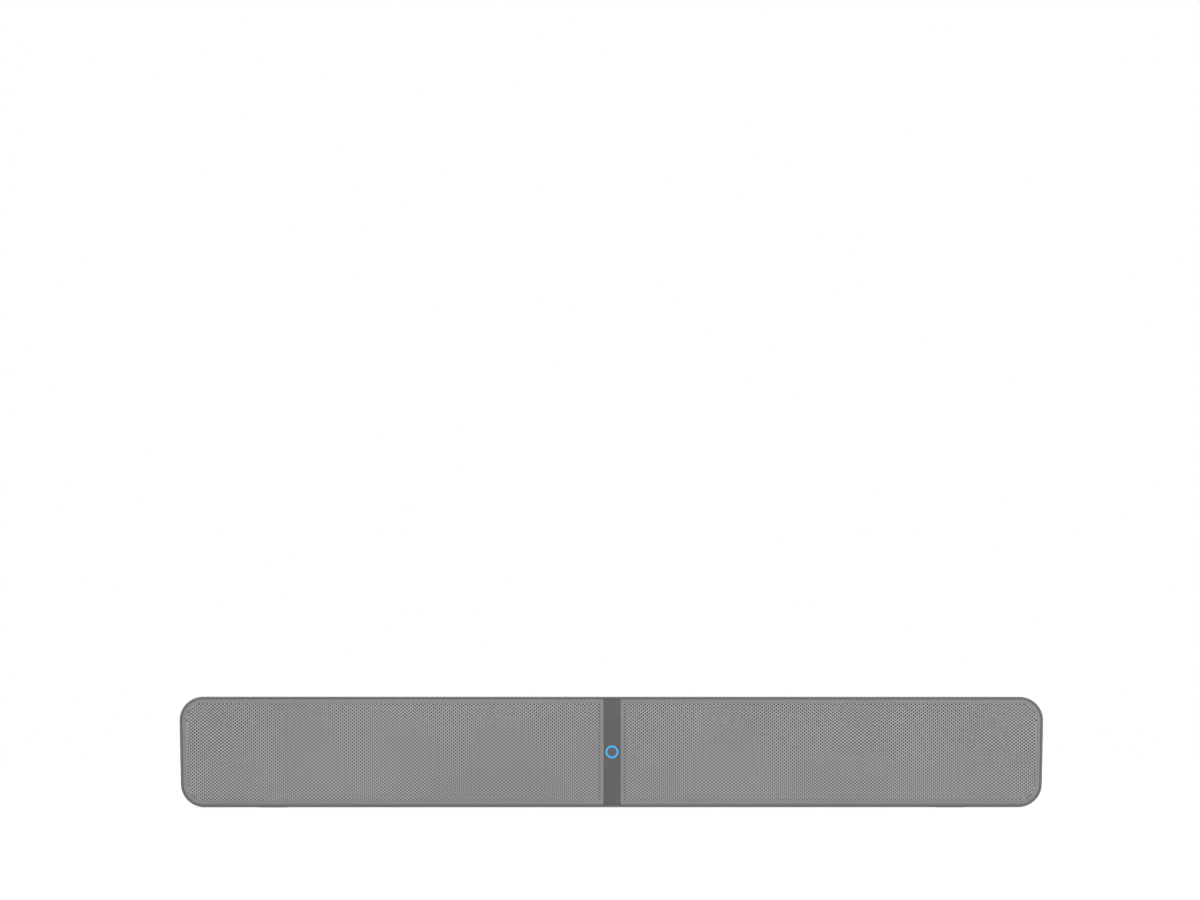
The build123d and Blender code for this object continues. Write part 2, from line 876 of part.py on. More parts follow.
# Tweeters
shelf = -driver_flange - steel_wall
gap_floor = 2 * steel_wall - tweeter_depth
gap_outside = tweeter_coil + coil_gap
neck = tweeter_coil - former
gap_inside = neck - coil_gap
rim = tweeter_throat - fit_gap
rim_top = -driver_flange - fit_gap
for side_name, side in sides:
    x = side * tweeter_x
    name = f"tweeter_{side_name}"
    faceplate = turned(
        x,
        outline(
            (tweeter_throat, -driver_flange),
            (tweeter_throat + tweeter_flare, 0),
            (tweeter_frame, 0),
            (tweeter_frame, -driver_flange),
        ),
        cuts=(flange_holes(x, tweeter_frame),),
    )
    save(faceplate, f"{name}_faceplate")

    motor = turned(
        x,
        outline(
            (tweeter_throat, -driver_flange),
            (tweeter_motor, -driver_flange),
            (tweeter_motor, -tweeter_depth),
            (0, -tweeter_depth),
            (0, shelf),
            (gap_inside, shelf),
            (gap_inside, gap_floor),
            (gap_outside, gap_floor),
            (gap_outside, shelf),
            (tweeter_throat, shelf),
        ),
    )
    save(motor, f"{name}_motor")

    silk = turned(
        x,
        dome(tweeter_coil, rim_top, tweeter_dome_height, skin),
        outline(
            (neck, rim_top - skin / 2),
            (tweeter_coil, rim_top - skin / 2),
            (tweeter_coil, gap_floor + steel_wall),
            (neck, gap_floor + steel_wall),
        ),
        outline(
            (neck, rim_top),
            (rim, rim_top),
            (rim, rim_top - skin),
            (neck, rim_top - skin),
        ),
    )
    save(silk, f"{name}_dome")

# Passive radiators, glued straight to the baffle
flat = radiator_lip - glue_lip
dish = flat - radiator_thickness
dish_back = -radiator_thickness - paper
hub_back = -radiator_thickness - radiator_hub_height
for side_name, side in sides:
    x = side * radiator_x
    name = f"radiator_{side_name}"
    disc = turned(
        x,
        outline(
            (0, paper - radiator_thickness),
            (dish, paper - radiator_thickness),
            (flat, 0),
            (radiator_lip, 0),
            (radiator_lip, -paper),
            (flat, -paper),
            (dish, dish_back),
            (radiator_hub, dish_back),
            (radiator_hub, hub_back),
            (0, hub_back),
        ),
    )
    save(disc, f"{name}_cone")
    save(surround(x, radiator_lip, radiator_seat), f"{name}_surround")


# Fasteners: each row of screws has the plane under its heads and the places on it
def screws(rows, length):
    with BuildPart() as group:
        for plane, places in rows:
            with BuildSketch(plane):
                with Locations(places):
                    Circle(screw_head)
            extrude(amount=screw_head_height)
            with BuildSketch(plane):
                with Locations(places):
                    Circle(screw_radius)
            extrude(amount=-length)
    return group


front_rows = (
    (face_at(baffle_front + baffle_web), case_places),
    (face_at(baffle_front), driver_screw_places),
)
save(screws(front_rows, front_screw_length), "front_screws")

from_behind = Plane(origin=(0, bay_floor, mid_z), x_dir=(-1, 0, 0), z_dir=(0, 1, 0))
from_below = Plane(origin=(0, button_y, control_top - board), x_dir=(-1, 0, 0), z_dir=(0, 0, -1))
board_rows = (
    (face_at(main_front), main_posts),
    (face_at(power_front, z=power_z), power_posts),
    (from_behind, panel_places),
    (from_below, control_posts),
)
save(screws(board_rows, board_screw_length), "board_screws")

# Main board with its amplifier chips and capacitors
with BuildPart() as main_board:
    with BuildSketch(face_at(main_board_y)):
        with Locations((0, bay_middle - mid_z)):
            Rectangle(bay_width, bay_height - 2 * post_radius)
        with Locations(main_posts):
            Circle(screw_radius + screw_gap, mode=Mode.SUBTRACT)
    extrude(amount=board)
    with BuildSketch(face_at(main_front, z=bay_middle)):
        with GridLocations(sink_width / 2, sink_height, 2, 1):
            Rectangle(chip_side, chip_side)
    extrude(amount=chip_height)
    with BuildSketch(face_at(main_front, z=bay_middle)):
        with GridLocations((sink_width + bay_width) / 2, 2 * chip_side, 2, 2):
            Circle(can_radius)
    extrude(amount=can_height)
save(main_board, "main_board")

with BuildPart() as heat_sink:
    with BuildSketch(face_at(sink_back, z=bay_middle)):
        Rectangle(sink_width, sink_height)
    extrude(amount=sink_base)
    with BuildSketch(face_at(sink_back - sink_base, z=bay_middle)):
        with GridLocations((sink_width - fin_thickness) / (fin_count - 1), 1, fin_count, 1):
            Rectangle(fin_thickness, sink_height)
    extrude(amount=fin_height)
save(heat_sink, "heat_sink")

# Power board with its capacitors and a transformer: a winding between two core plates
core = power_height * core_share
core_plate = power_height * core_plate_share
winding_height = power_height * winding_share
transformer_x = power_width * transformer_share
capacitor_x = -power_width * capacitor_share
with BuildPart() as power_board:
    with BuildSketch(face_at(power_back, z=power_z)):
        Rectangle(power_width, power_height)
        with Locations(power_posts):
            Circle(screw_radius + screw_gap, mode=Mode.SUBTRACT)
    extrude(amount=board)
    with BuildSketch(face_at(power_front, x=capacitor_x, z=power_z)):
        with GridLocations(capacitor_pitch, capacitor_pitch, 2, 1):
            Circle(capacitor_radius)
    extrude(amount=capacitor_height)
    with BuildSketch(face_at(power_front, x=transformer_x, z=power_z)):
        Rectangle(core, core)
    extrude(amount=core_plate)
    with BuildSketch(face_at(power_front - core_plate, x=transformer_x, z=power_z)):
        Circle(core / 2 - core_plate / 2)
    extrude(amount=winding_height)
    with BuildSketch(face_at(power_front - core_plate - winding_height, x=transformer_x, z=power_z)):
        Rectangle(core, core)
    extrude(amount=core_plate)
save(power_board, "power_board")

# Control board with a switch under each button
with BuildPart() as control_board:
    with BuildSketch(level(control_top - board, y=button_y)):
        Rectangle(control_length, control_width)
        with Locations(control_posts):
            Circle(screw_radius + screw_gap, mode=Mode.SUBTRACT)
    extrude(amount=board)
    with BuildSketch(level(control_top, y=button_y)):
        with Locations([(x, 0) for x in button_x]):
            Rectangle(switch_side, switch_side)
    extrude(amount=switch_height)
    with BuildSketch(level(switch_top, y=button_y)):
        with Locations([(x, 0) for x in button_x]):
            Circle(plunger_radius)
    extrude(amount=plunger_height)
save(control_board, "control_board")

# Push buttons, each with a collar under the top wall and a stem over its switch
cap_top = top_z + button_proud
for name, x in zip(button_names, button_x):
    with BuildPart() as button:
        with BuildSketch(level(cap_top, x, button_y)):
            SlotOverall(button_length - 2 * fit_gap, button_width - 2 * fit_gap)
        extrude(amount=collar_top - cap_top)
        fillet(button.faces().sort_by(Axis.Z)[-1].edges(), soft_edge)
        with BuildSketch(level(collar_top, x, button_y)):
            SlotOverall(button_length + 2 * collar_reach, button_width + 2 * collar_reach)
        extrude(amount=-collar_height)
        with BuildSketch(level(stem_end, x, button_y)):
            Circle(stem_radius)
        extrude(amount=stem_length)
    save(button, name)

# Socket panel over the window in the bay's floor
with BuildPart() as io_panel:
    with BuildSketch(face_at(bay_floor, z=bay_middle)):
        Rectangle(bay_width - 2 * fit_gap, bay_height - 2 * fit_gap)
        for x, size in zip(socket_x, socket_sizes):
            with Locations((x, 0)):
                Rectangle(size[0] + 2 * fit_gap, size[1] + 2 * fit_gap, mode=Mode.SUBTRACT)
        with Locations([(x, z + mid_z - bay_middle) for x, z in panel_places]):
            Circle(screw_radius + screw_gap, mode=Mode.SUBTRACT)
    extrude(amount=io_thickness)
save(io_panel, "io_panel")


# Sockets stand on the main board and reach through the panel
def socket_plane(x, depth=0):
    return face_at(socket_face - depth, x, bay_middle)


with BuildPart() as power_inlet:
    with BuildSketch(socket_plane(power_socket_x)):
        Rectangle(*power_size)
    extrude(amount=socket_depth)
    with BuildSketch(socket_plane(power_socket_x)):
        SlotOverall(inlet_width, inlet_height)
    extrude(amount=plug_depth, mode=Mode.SUBTRACT)
    with BuildSketch(socket_plane(power_socket_x, plug_depth)):
        with GridLocations(pin_pitch, pin_pitch, 2, 1):
            Circle(pin_radius)
    extrude(amount=-pin_length)
save(power_inlet, "power_inlet")

with BuildPart() as video_socket:
    with BuildSketch(socket_plane(video_x)):
        Rectangle(*video_size)
    extrude(amount=socket_depth)
    with BuildSketch(socket_plane(video_x)):
        Trapezoid(video_size[0] - 2 * video_wall, video_size[1] - 2 * video_wall, video_slope, rotation=180)
    extrude(amount=plug_depth, mode=Mode.SUBTRACT)
    with BuildSketch(socket_plane(video_x, plug_depth)):
        Rectangle(video_size[0] - 2 * tongue_margin, tongue_height)
    extrude(amount=tongue_setback - plug_depth)
save(video_socket, "video_socket")

with BuildPart() as optical_socket:
    with BuildSketch(socket_plane(optical_x)):
        Rectangle(*optical_size)
    extrude(amount=socket_depth)
    with BuildSketch(socket_plane(optical_x)) as opening:
        Rectangle(optical_opening, optical_opening)
        chamfer(opening.vertices().group_by(Axis.Z)[-1], optical_chamfer)
    extrude(amount=plug_depth, mode=Mode.SUBTRACT)
    with BuildSketch(socket_plane(optical_x, plug_depth)):
        Circle(optical_lens)
    extrude(amount=-optical_lens_length)
save(optical_socket, "optical_socket")

with BuildPart() as media_socket:
    with BuildSketch(socket_plane(media_x)):
        Rectangle(*media_size)
    extrude(amount=socket_depth)
    with BuildSketch(socket_plane(media_x)):
        Rectangle(media_size[0] - 2 * media_wall, media_size[1] - 2 * media_wall)
    extrude(amount=plug_depth, mode=Mode.SUBTRACT)
    with BuildSketch(socket_plane(media_x, plug_depth)):
        with Locations((0, tongue_height / 2)):
            Rectangle(media_size[0] - 2 * tongue_margin, tongue_height)
    extrude(amount=tongue_setback - plug_depth)
save(media_socket, "media_socket")

with BuildPart() as network_socket:
    with BuildSketch(socket_plane(network_x)):
        Rectangle(*network_size)
    extrude(amount=socket_depth)
    with BuildSketch(socket_plane(network_x)):
        with Locations((0, latch_height / 2)):
            Rectangle(jack_width, jack_height)
        with Locations((0, -jack_height / 2)):
            Rectangle(latch_width, latch_height)
    extrude(amount=plug_depth, mode=Mode.SUBTRACT)
save(network_socket, "network_socket")

# Feet and wall inserts
with BuildPart() as rubber_feet:
    with BuildSketch(level(0)):
        with Locations(foot_places):
            SlotOverall(foot_length - 2 * fit_gap, foot_width - 2 * fit_gap)
    extrude(amount=bottom_z + foot_sink)
save(rubber_feet, "rubber_feet")

with BuildPart() as wall_inserts:
    with BuildSketch(face_at(back_y)):
        with Locations(insert_places):
            Circle(insert_radius)
        with Locations(insert_places):
            Circle(insert_bore, mode=Mode.SUBTRACT)
    extrude(amount=insert_length)
save(wall_inserts, "wall_inserts")
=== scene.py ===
import bpy
import math
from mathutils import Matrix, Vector, geometry


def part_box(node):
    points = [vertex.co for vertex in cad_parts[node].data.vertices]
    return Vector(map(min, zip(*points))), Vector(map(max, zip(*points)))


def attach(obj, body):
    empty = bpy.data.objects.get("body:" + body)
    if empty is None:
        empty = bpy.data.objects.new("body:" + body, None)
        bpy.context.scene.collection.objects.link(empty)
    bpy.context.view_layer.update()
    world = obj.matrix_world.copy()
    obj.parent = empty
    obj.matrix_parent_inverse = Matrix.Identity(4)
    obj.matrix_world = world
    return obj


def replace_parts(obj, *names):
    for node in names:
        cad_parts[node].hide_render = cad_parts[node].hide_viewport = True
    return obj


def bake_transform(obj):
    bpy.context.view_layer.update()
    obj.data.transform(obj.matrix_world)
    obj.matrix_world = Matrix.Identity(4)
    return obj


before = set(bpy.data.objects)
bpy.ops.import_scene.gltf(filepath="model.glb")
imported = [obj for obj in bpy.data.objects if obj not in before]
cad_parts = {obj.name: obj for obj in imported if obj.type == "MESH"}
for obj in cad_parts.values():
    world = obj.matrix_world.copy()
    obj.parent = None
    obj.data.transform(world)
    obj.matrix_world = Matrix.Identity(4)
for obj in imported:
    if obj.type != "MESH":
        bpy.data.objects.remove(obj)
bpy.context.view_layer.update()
scene = bpy.context.scene
mm = 0.001
noiseSpan, pairSpan, weaveSpan = (0.3, 0.7), (0.7, 1.3), (-0.5, 1.5)  # where the patterns' values lie
print("frame loaded:", len(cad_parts), "nodes")


# sRGB hex, as read off a picture, to the linear colour that the shaders use
def colour(hexText):
    parts = [int(hexText[i:i + 2], 16) / 255 for i in (1, 3, 5)]
    return (*[c / 12.92 if c <= 0.04045 else ((c + 0.055) / 1.055) ** 2.4 for c in parts], 1)


# one node: its inputs are plain values or other nodes' outputs, the rest are its settings
def addNode(tree, kind, inputs={}, **settings):
    made = tree.nodes.new("ShaderNode" + kind)
    for name, value in settings.items():
        setattr(made, name, value)
    for socket, value in inputs.items():
        if isinstance(value, bpy.types.NodeSocket):
            tree.links.new(value, made.inputs[socket])
        else:
            made.inputs[socket].default_value = value
    return made


# a material with its shader, ready for a pattern
def startMaterial(name, **sockets):
    material = bpy.data.materials.new(name)
    material.use_nodes = True
    tree = material.node_tree
    shader = tree.nodes["Principled BSDF"]
    for socket, value in sockets.items():
        shader.inputs[socket.replace("_", " ")].default_value = value
    place = addNode(tree, "TexCoord").outputs["Object"]
    return material, tree, shader, place


# Moulded or sprayed skins: a fine grain in the surface, a broad drift in the colour
def grainedSkin(name, look):
    material, tree, shader, place = startMaterial(name, IOR=look["ior"], Metallic=0)
    grain = addNode(tree, "TexNoise", {"Vector": place, "Scale": 1 / (look["grain"] * mm), "Detail": 3})
    drift = addNode(tree, "TexNoise", {"Vector": place, "Scale": 1 / (look["drift"] * mm), "Detail": 2})
    both = addNode(tree, "Math", {0: grain.outputs["Fac"], 1: drift.outputs["Fac"]}, operation="ADD")
    tone = addNode(tree, "MapRange", {0: both.outputs[0], 1: pairSpan[0], 2: pairSpan[1]})
    mix = addNode(tree, "Mix", {0: tone.outputs[0], 6: colour(look["low"]), 7: colour(look["high"])},
                  data_type="RGBA")
    gloss = addNode(tree, "MapRange", {0: grain.outputs["Fac"], 1: noiseSpan[0], 2: noiseSpan[1],
                                       3: look["rough"][0], 4: look["rough"][1]})
    bump = addNode(tree, "Bump", {"Height": grain.outputs["Fac"], "Strength": look["strength"],
                                  "Distance": look["relief"] * mm})
    tree.links.new(mix.outputs[2], shader.inputs["Base Color"])
    tree.links.new(gloss.outputs[0], shader.inputs["Roughness"])
    tree.links.new(bump.outputs[0], shader.inputs["Normal"])
    return material


# Bare or plated metal: fine lines left by drawing, rolling or turning, longest along one axis
def drawnMetal(name, look):
    material, tree, shader, place = startMaterial(name, Metallic=1)
    scale = [1 / (size * mm) for size in look["lines"]]
    lines = addNode(tree, "Mapping", {"Vector": place, "Scale": scale})
    streak = addNode(tree, "TexNoise", {"Vector": lines.outputs[0], "Scale": 1, "Detail": 4})
    stain = addNode(tree, "TexNoise", {"Vector": place, "Scale": 1 / (look["stain"] * mm), "Detail": 2})
    both = addNode(tree, "Math", {0: streak.outputs["Fac"], 1: stain.outputs["Fac"]}, operation="ADD")
    tone = addNode(tree, "MapRange", {0: both.outputs[0], 1: pairSpan[0], 2: pairSpan[1]})
    mix = addNode(tree, "Mix", {0: tone.outputs[0], 6: colour(look["low"]), 7: colour(look["high"])},
                  data_type="RGBA")
    gloss = addNode(tree, "MapRange", {0: streak.outputs["Fac"], 1: noiseSpan[0], 2: noiseSpan[1],
                                       3: look["rough"][0], 4: look["rough"][1]})
    bump = addNode(tree, "Bump", {"Height": streak.outputs["Fac"], "Strength": look["strength"],
                                  "Distance": 0.02 * mm})
    tree.links.new(mix.outputs[2], shader.inputs["Base Color"])
    tree.links.new(gloss.outputs[0], shader.inputs["Roughness"])
    tree.links.new(bump.outputs[0], shader.inputs["Normal"])
    return material


# Plain weave: two sets of threads, in the plane of the cloth, that take turns on top
def wovenCloth(name, look):
    material, tree, shader, place = startMaterial(name, IOR=1.5, Metallic=0, Roughness=look["rough"])
    axes = addNode(tree, "SeparateXYZ", {0: place})
    turn = math.pi / (look["thread"] * mm)
    across = addNode(tree, "Math", {0: axes.outputs["X"], 1: turn}, operation="MULTIPLY")
    along = addNode(tree, "Math", {0: axes.outputs["Z"], 1: turn}, operation="MULTIPLY")
    warp = addNode(tree, "Math", {0: across.outputs[0]}, operation="SINE")
    weft = addNode(tree, "Math", {0: along.outputs[0]}, operation="SINE")
    over = addNode(tree, "Math", {0: warp.outputs[0], 1: weft.outputs[0]}, operation="MULTIPLY")
    fuzz = addNode(tree, "TexNoise", {"Vector": place, "Scale": 1 / (look["thread"] * mm), "Detail": 3})
    height = addNode(tree, "Math", {0: over.outputs[0], 1: fuzz.outputs["Fac"]}, operation="ADD")
    tone = addNode(tree, "MapRange", {0: height.outputs[0], 1: weaveSpan[0], 2: weaveSpan[1]})
    mix = addNode(tree, "Mix", {0: tone.outputs[0], 6: colour(look["low"]), 7: colour(look["high"])},
                  data_type="RGBA")
    bump = addNode(tree, "Bump", {"Height": height.outputs[0], "Strength": 0.6,
                                  "Distance": look["relief"] * mm})
    tree.links.new(mix.outputs[2], shader.inputs["Base Color"])
    tree.links.new(bump.outputs[0], shader.inputs["Normal"])
    return material


# Moulded ABS, spark-eroded mould: an even matt grey with a soft sheen. The grain is really
# about 0.3 mm and is drawn at 1.4 mm so that it shows.
cabinetAbs = grainedSkin("moulded ABS cabinet", {
    "low": "#6C6C6D", "high": "#737374", "ior": 1.53, "grain": 1.4, "drift": 90,
    "rough": (0.46, 0.6), "strength": 0.25, "relief": 0.12})
# Unpainted ABS behind the panels: dark, rougher, with flow marks
baffleAbs = grainedSkin("moulded ABS baffle", {
    "low": "#232325", "high": "#2E2E30", "ior": 1.53, "grain": 1.6, "drift": 60,
    "rough": (0.55, 0.7), "strength": 0.3, "relief": 0.15})
# Powder coat on perforated steel: satin grey, with a faint orange peel of about 1.2 mm
grilleCoat = grainedSkin("powder-coated punched steel", {
    "low": "#848485", "high": "#8E8E8F", "ior": 1.5, "grain": 1.2, "drift": 120,
    "rough": (0.4, 0.52), "strength": 0.2, "relief": 0.08})
# Polished ABS strip: dark and glossy, nearly flat, so that it mirrors the room softly
stripGloss = grainedSkin("polished ABS strip", {
    "low": "#555556", "high": "#5A5A5B", "ior": 1.53, "grain": 14, "drift": 70,
    "rough": (0.12, 0.17), "strength": 0.05, "relief": 0.05})
# Infrared-passing acrylic: the strip's tone, a little clearer and smoother
windowAcrylic = grainedSkin("tinted acrylic window", {
    "low": "#5C5C5E", "high": "#626264", "ior": 1.49, "grain": 9, "drift": 30,
    "rough": (0.06, 0.1), "strength": 0.04, "relief": 0.03})
# Moulded ABS caps: a shade darker and smoother than the cabinet, polished a little by fingers
buttonAbs = grainedSkin("moulded ABS buttons", {
    "low": "#626263", "high": "#6C6C6D", "ior": 1.53, "grain": 1.2, "drift": 25,
    "rough": (0.42, 0.54), "strength": 0.22, "relief": 0.1})
# Powder coat on the socket panel: near black, coarser peel
panelCoat = grainedSkin("powder-coated socket panel", {
    "low": "#2F2F31", "high": "#38383A", "ior": 1.5, "grain": 1.3, "drift": 45,
    "rough": (0.48, 0.62), "strength": 0.3, "relief": 0.12})
# Moulded nylon: black, dull, with the fine grain of a glass-filled plastic
socketNylon = grainedSkin("moulded nylon sockets", {
    "low": "#151516", "high": "#1E1E1F", "ior": 1.53, "grain": 0.9, "drift": 12,
    "rough": (0.45, 0.58), "strength": 0.2, "relief": 0.06})
# Moulded rubber feet: dull grey, a shade darker than the cabinet, with a dusty bloom
footRubber = grainedSkin("moulded rubber feet", {
    "low": "#5E5E5F", "high": "#6A6A6B", "ior": 1.52, "grain": 1.0, "drift": 14,
    "rough": (0.72, 0.88), "strength": 0.35, "relief": 0.15})
# Moulded rubber rolls: black, soft highlights along the crown
surroundRubber = grainedSkin("moulded rubber surrounds", {
    "low": "#121213", "high": "#1B1B1C", "ior": 1.52, "grain": 1.2, "drift": 30,
    "rough": (0.55, 0.7), "strength": 0.2, "relief": 0.08})
# Pressed pulp cones: felted fibres under a thin black coat
conePaper = grainedSkin("coated paper pulp", {
    "low": "#1A1A1A", "high": "#2A2A29", "ior": 1.47, "grain": 1.8, "drift": 18,
    "rough": (0.62, 0.8), "strength": 0.5, "relief": 0.2})
# Black coat on pressed steel: satin, smooth, with a slight peel
basketCoat = grainedSkin("black-coated steel baskets", {
    "low": "#131314", "high": "#1C1C1D", "ior": 1.5, "grain": 1.5, "drift": 40,
    "rough": (0.35, 0.48), "strength": 0.2, "relief": 0.08})
# Sintered ferrite: dark grey and slightly sparkling, ground on its flat faces
magnetFerrite = grainedSkin("sintered ferrite", {
    "low": "#2A2A2C", "high": "#3A3A3D", "ior": 2.2, "grain": 1.0, "drift": 20,
    "rough": (0.4, 0.58), "strength": 0.3, "relief": 0.1})
# Solder mask: green lacquer over glass cloth, semi-gloss and a little cloudy
boardMask = grainedSkin("solder-masked circuit board", {
    "low": "#0E3A22", "high": "#195534", "ior": 1.55, "grain": 2.2, "drift": 16,
    "rough": (0.22, 0.36), "strength": 0.25, "relief": 0.06})

# Extruded aluminium: pale, with die lines along the fins
sinkAluminium = drawnMetal("extruded aluminium", {
    "low": "#B4B6B9", "high": "#CED0D2", "lines": (1.2, 40, 40), "stain": 25,
    "rough": (0.28, 0.42), "strength": 0.3})
# Tin plate on folded steel: bright, slightly warm, faint rolling lines
socketTin = drawnMetal("tin-plated steel", {
    "low": "#B0AFAC", "high": "#CBCAC7", "lines": (8, 8, 0.6), "stain": 6,
    "rough": (0.22, 0.36), "strength": 0.2})
# Zinc plate on headed screws: grey and bright, with no direction
screwZinc = drawnMetal("zinc-plated steel screws", {
    "low": "#86878A", "high": "#A5A6A8", "lines": (1.5, 1.5, 1.5), "stain": 4,
    "rough": (0.28, 0.42), "strength": 0.25})
# Zinc plate on turned steel: satin, clouded by the passivation
motorZinc = drawnMetal("zinc-plated steel motors", {
    "low": "#8E8F92", "high": "#AEAFB1", "lines": (6, 1.0, 6), "stain": 22,
    "rough": (0.26, 0.4), "strength": 0.25})
# Turned brass: yellow, with the tool's fine rings
insertBrass = drawnMetal("turned brass", {
    "low": "#B08A45", "high": "#CFAA5F", "lines": (3, 0.6, 3), "stain": 5,
    "rough": (0.24, 0.38), "strength": 0.3})
# Gold flash on spring bronze: warm, bright and smooth
contactGold = drawnMetal("gold-plated contacts", {
    "low": "#C79A45", "high": "#E0B965", "lines": (0.5, 4, 4), "stain": 3,
    "rough": (0.18, 0.3), "strength": 0.15})
# Enamelled copper, wound: each turn shows as a line across the coil
coilCopper = drawnMetal("enamelled copper wire", {
    "low": "#8A4A24", "high": "#B9703E", "lines": (5, 0.4, 5), "stain": 7,
    "rough": (0.25, 0.36), "strength": 0.6})

# Acoustic cloth: open plain weave, threads really about 0.4 mm, drawn at 0.8 mm to show
acousticCloth = wovenCloth("acoustic cloth", {
    "low": "#68686A", "high": "#868688", "thread": 0.8, "relief": 0.15, "rough": 0.9})
# Resin-dipped cotton: yellow-brown and stiff, weave of about 1 mm
spiderCotton = wovenCloth("resin-dipped cotton", {
    "low": "#9C7F45", "high": "#CBB075", "thread": 1.0, "relief": 0.15, "rough": 0.7})
# Coated silk: black, the weave just showing through the damping coat. Threads are really
# about 0.2 mm and are drawn at 0.6 mm to show.
domeSilk = wovenCloth("coated silk", {
    "low": "#161617", "high": "#26262A", "thread": 0.6, "relief": 0.06, "rough": 0.5})


# Opal acrylic light pipe: an even blue line, a trace brighter over each of the six lamps behind
# it, kept thin by grey paint along both edges
ringLight = {"body": "#0E2A3E", "glow": "#30B2FF", "paint": "#5C5C5D", "strength": 0.7, "lamps": 6,
             "lift": 0.05, "lineRadius": 6.85, "line": 1.8, "fade": 0.15, "mottle": 2}


def litAcrylic(look):
    material, tree, shader, place = startMaterial("lit opal acrylic", IOR=1.49, Roughness=0.3)
    shader.inputs["Emission Color"].default_value = colour(look["glow"])
    low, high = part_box("light_ring")
    middle = (low + high) / 2
    centred = addNode(tree, "VectorMath", {0: place, 1: middle}, operation="SUBTRACT")
    axes = addNode(tree, "SeparateXYZ", {0: centred.outputs[0]})
    angle = addNode(tree, "Math", {0: axes.outputs["Z"], 1: axes.outputs["X"]}, operation="ARCTAN2")
    turns = addNode(tree, "Math", {0: angle.outputs[0], 1: look["lamps"]}, operation="MULTIPLY")
    wave = addNode(tree, "Math", {0: turns.outputs[0]}, operation="COSINE")
    glow = addNode(tree, "Math", {0: wave.outputs[0], 1: look["lift"], 2: look["strength"]},
                   operation="MULTIPLY_ADD")
    flat = addNode(tree, "VectorMath", {0: centred.outputs[0], 1: (1, 0, 1)}, operation="MULTIPLY")
    radius = addNode(tree, "VectorMath", {0: flat.outputs[0]}, operation="LENGTH")
    # 1 inside the lit line and 0 on the painted edges
    aside = addNode(tree, "Math", {0: radius.outputs["Value"], 1: look["lineRadius"] * mm},
                    operation="SUBTRACT")
    away = addNode(tree, "Math", {0: aside.outputs[0]}, operation="ABSOLUTE")
    lit = addNode(tree, "MapRange", {
        "Value": away.outputs[0], "From Min": (look["line"] / 2 - look["fade"]) * mm,
        "From Max": (look["line"] / 2 + look["fade"]) * mm, "To Min": 1, "To Max": 0})
    line = addNode(tree, "Math", {0: glow.outputs[0], 1: lit.outputs["Result"]}, operation="MULTIPLY")
    mottle = addNode(tree, "TexNoise", {"Vector": place, "Scale": 1 / (look["mottle"] * mm), "Detail": 2})
    tint = addNode(tree, "Mix", {0: mottle.outputs["Fac"], 6: colour(look["body"]), 7: colour(look["glow"])},
                   data_type="RGBA")
    skin = addNode(tree, "Mix", {0: lit.outputs["Result"], 6: colour(look["paint"]), 7: tint.outputs[2]},
                   data_type="RGBA")
    tree.links.new(skin.outputs[2], shader.inputs["Base Color"])
    tree.links.new(line.outputs[0], shader.inputs["Emission Strength"])
    return material


litRing = litAcrylic(ringLight)
print("materials made:", len(bpy.data.materials))

# Finishes of the CAD nodes that stay
finishes = {
    "rear_shell": cabinetAbs, "front_baffle": baffleAbs, "centre_strip": stripGloss,
    "light_ring": litRing, "ir_window": windowAcrylic, "light_board": boardMask,
    "control_board": boardMask, "main_board": boardMask, "power_board": boardMask,
    "heat_sink": sinkAluminium, "power_button": buttonAbs, "source_button": buttonAbs,
    "volume_down_button": buttonAbs, "volume_up_button": buttonAbs, "io_panel": panelCoat,
    "power_inlet": socketNylon, "optical_socket": socketNylon, "network_socket": socketNylon,
    "video_socket": socketTin, "media_socket": socketTin, "rubber_feet": footRubber,
    "wall_inserts": insertBrass}
driverFinishes = {
    "basket": basketCoat, "magnet": magnetFerrite, "yoke": motorZinc, "motor": motorZinc,
    "voice_coil": coilCopper, "cone": conePaper, "dome": domeSilk, "faceplate": baffleAbs}
for side in ("left", "right"):
    for driver in ("woofer", "mid", "tweeter", "radiator"):
        for piece, finish in driverFinishes.items():
            node = f"{driver}_{side}_{piece}"
            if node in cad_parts:
                finishes[node] = finish
for node, finish in finishes.items():
    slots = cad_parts[node].data.materials
    slots.clear()
    slots.append(finish)
print("CAD nodes finished:", len(finishes))


# A new mesh piece with the finish it is given, that moves with a body
def addPiece(name, points, faces, material, body, slot, sharp=50):
    mesh = bpy.data.meshes.new(name)
    mesh.from_pydata(points, [], faces)
    mesh.validate()
    mesh.materials.append(material)
    mesh.shade_smooth()
    mesh.set_sharp_from_angle(angle=math.radians(sharp))
    piece = bpy.data.objects.new(name, mesh)
    scene.collection.objects.link(piece)
    if body:
        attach(piece, body)
    return piece


# Perforated panels: a folded sheet with round holes in staggered rows
grille = {"pitchX": 5.0, "pitchZ": 3.92, "hole": 2.3, "margin": 4.9, "sheet": 1.0, "bend": 0.8,
          "outerCorner": 26.35, "innerCorner": 2.0, "lean": 1.3, "cornerSteps": 12, "bendSteps": 4,
          "leastRound": 0.4, "octagon": 1.054}  # octagon: an eight-sided hole with the round hole's area


# how far the bottom outer corner stands in, because the bar's ends lean
def leanRun(low, high, shape):
    straight = high.z - low.z - 2 * shape["outerCorner"] * mm
    return straight * math.tan(math.radians(grille["lean"]))


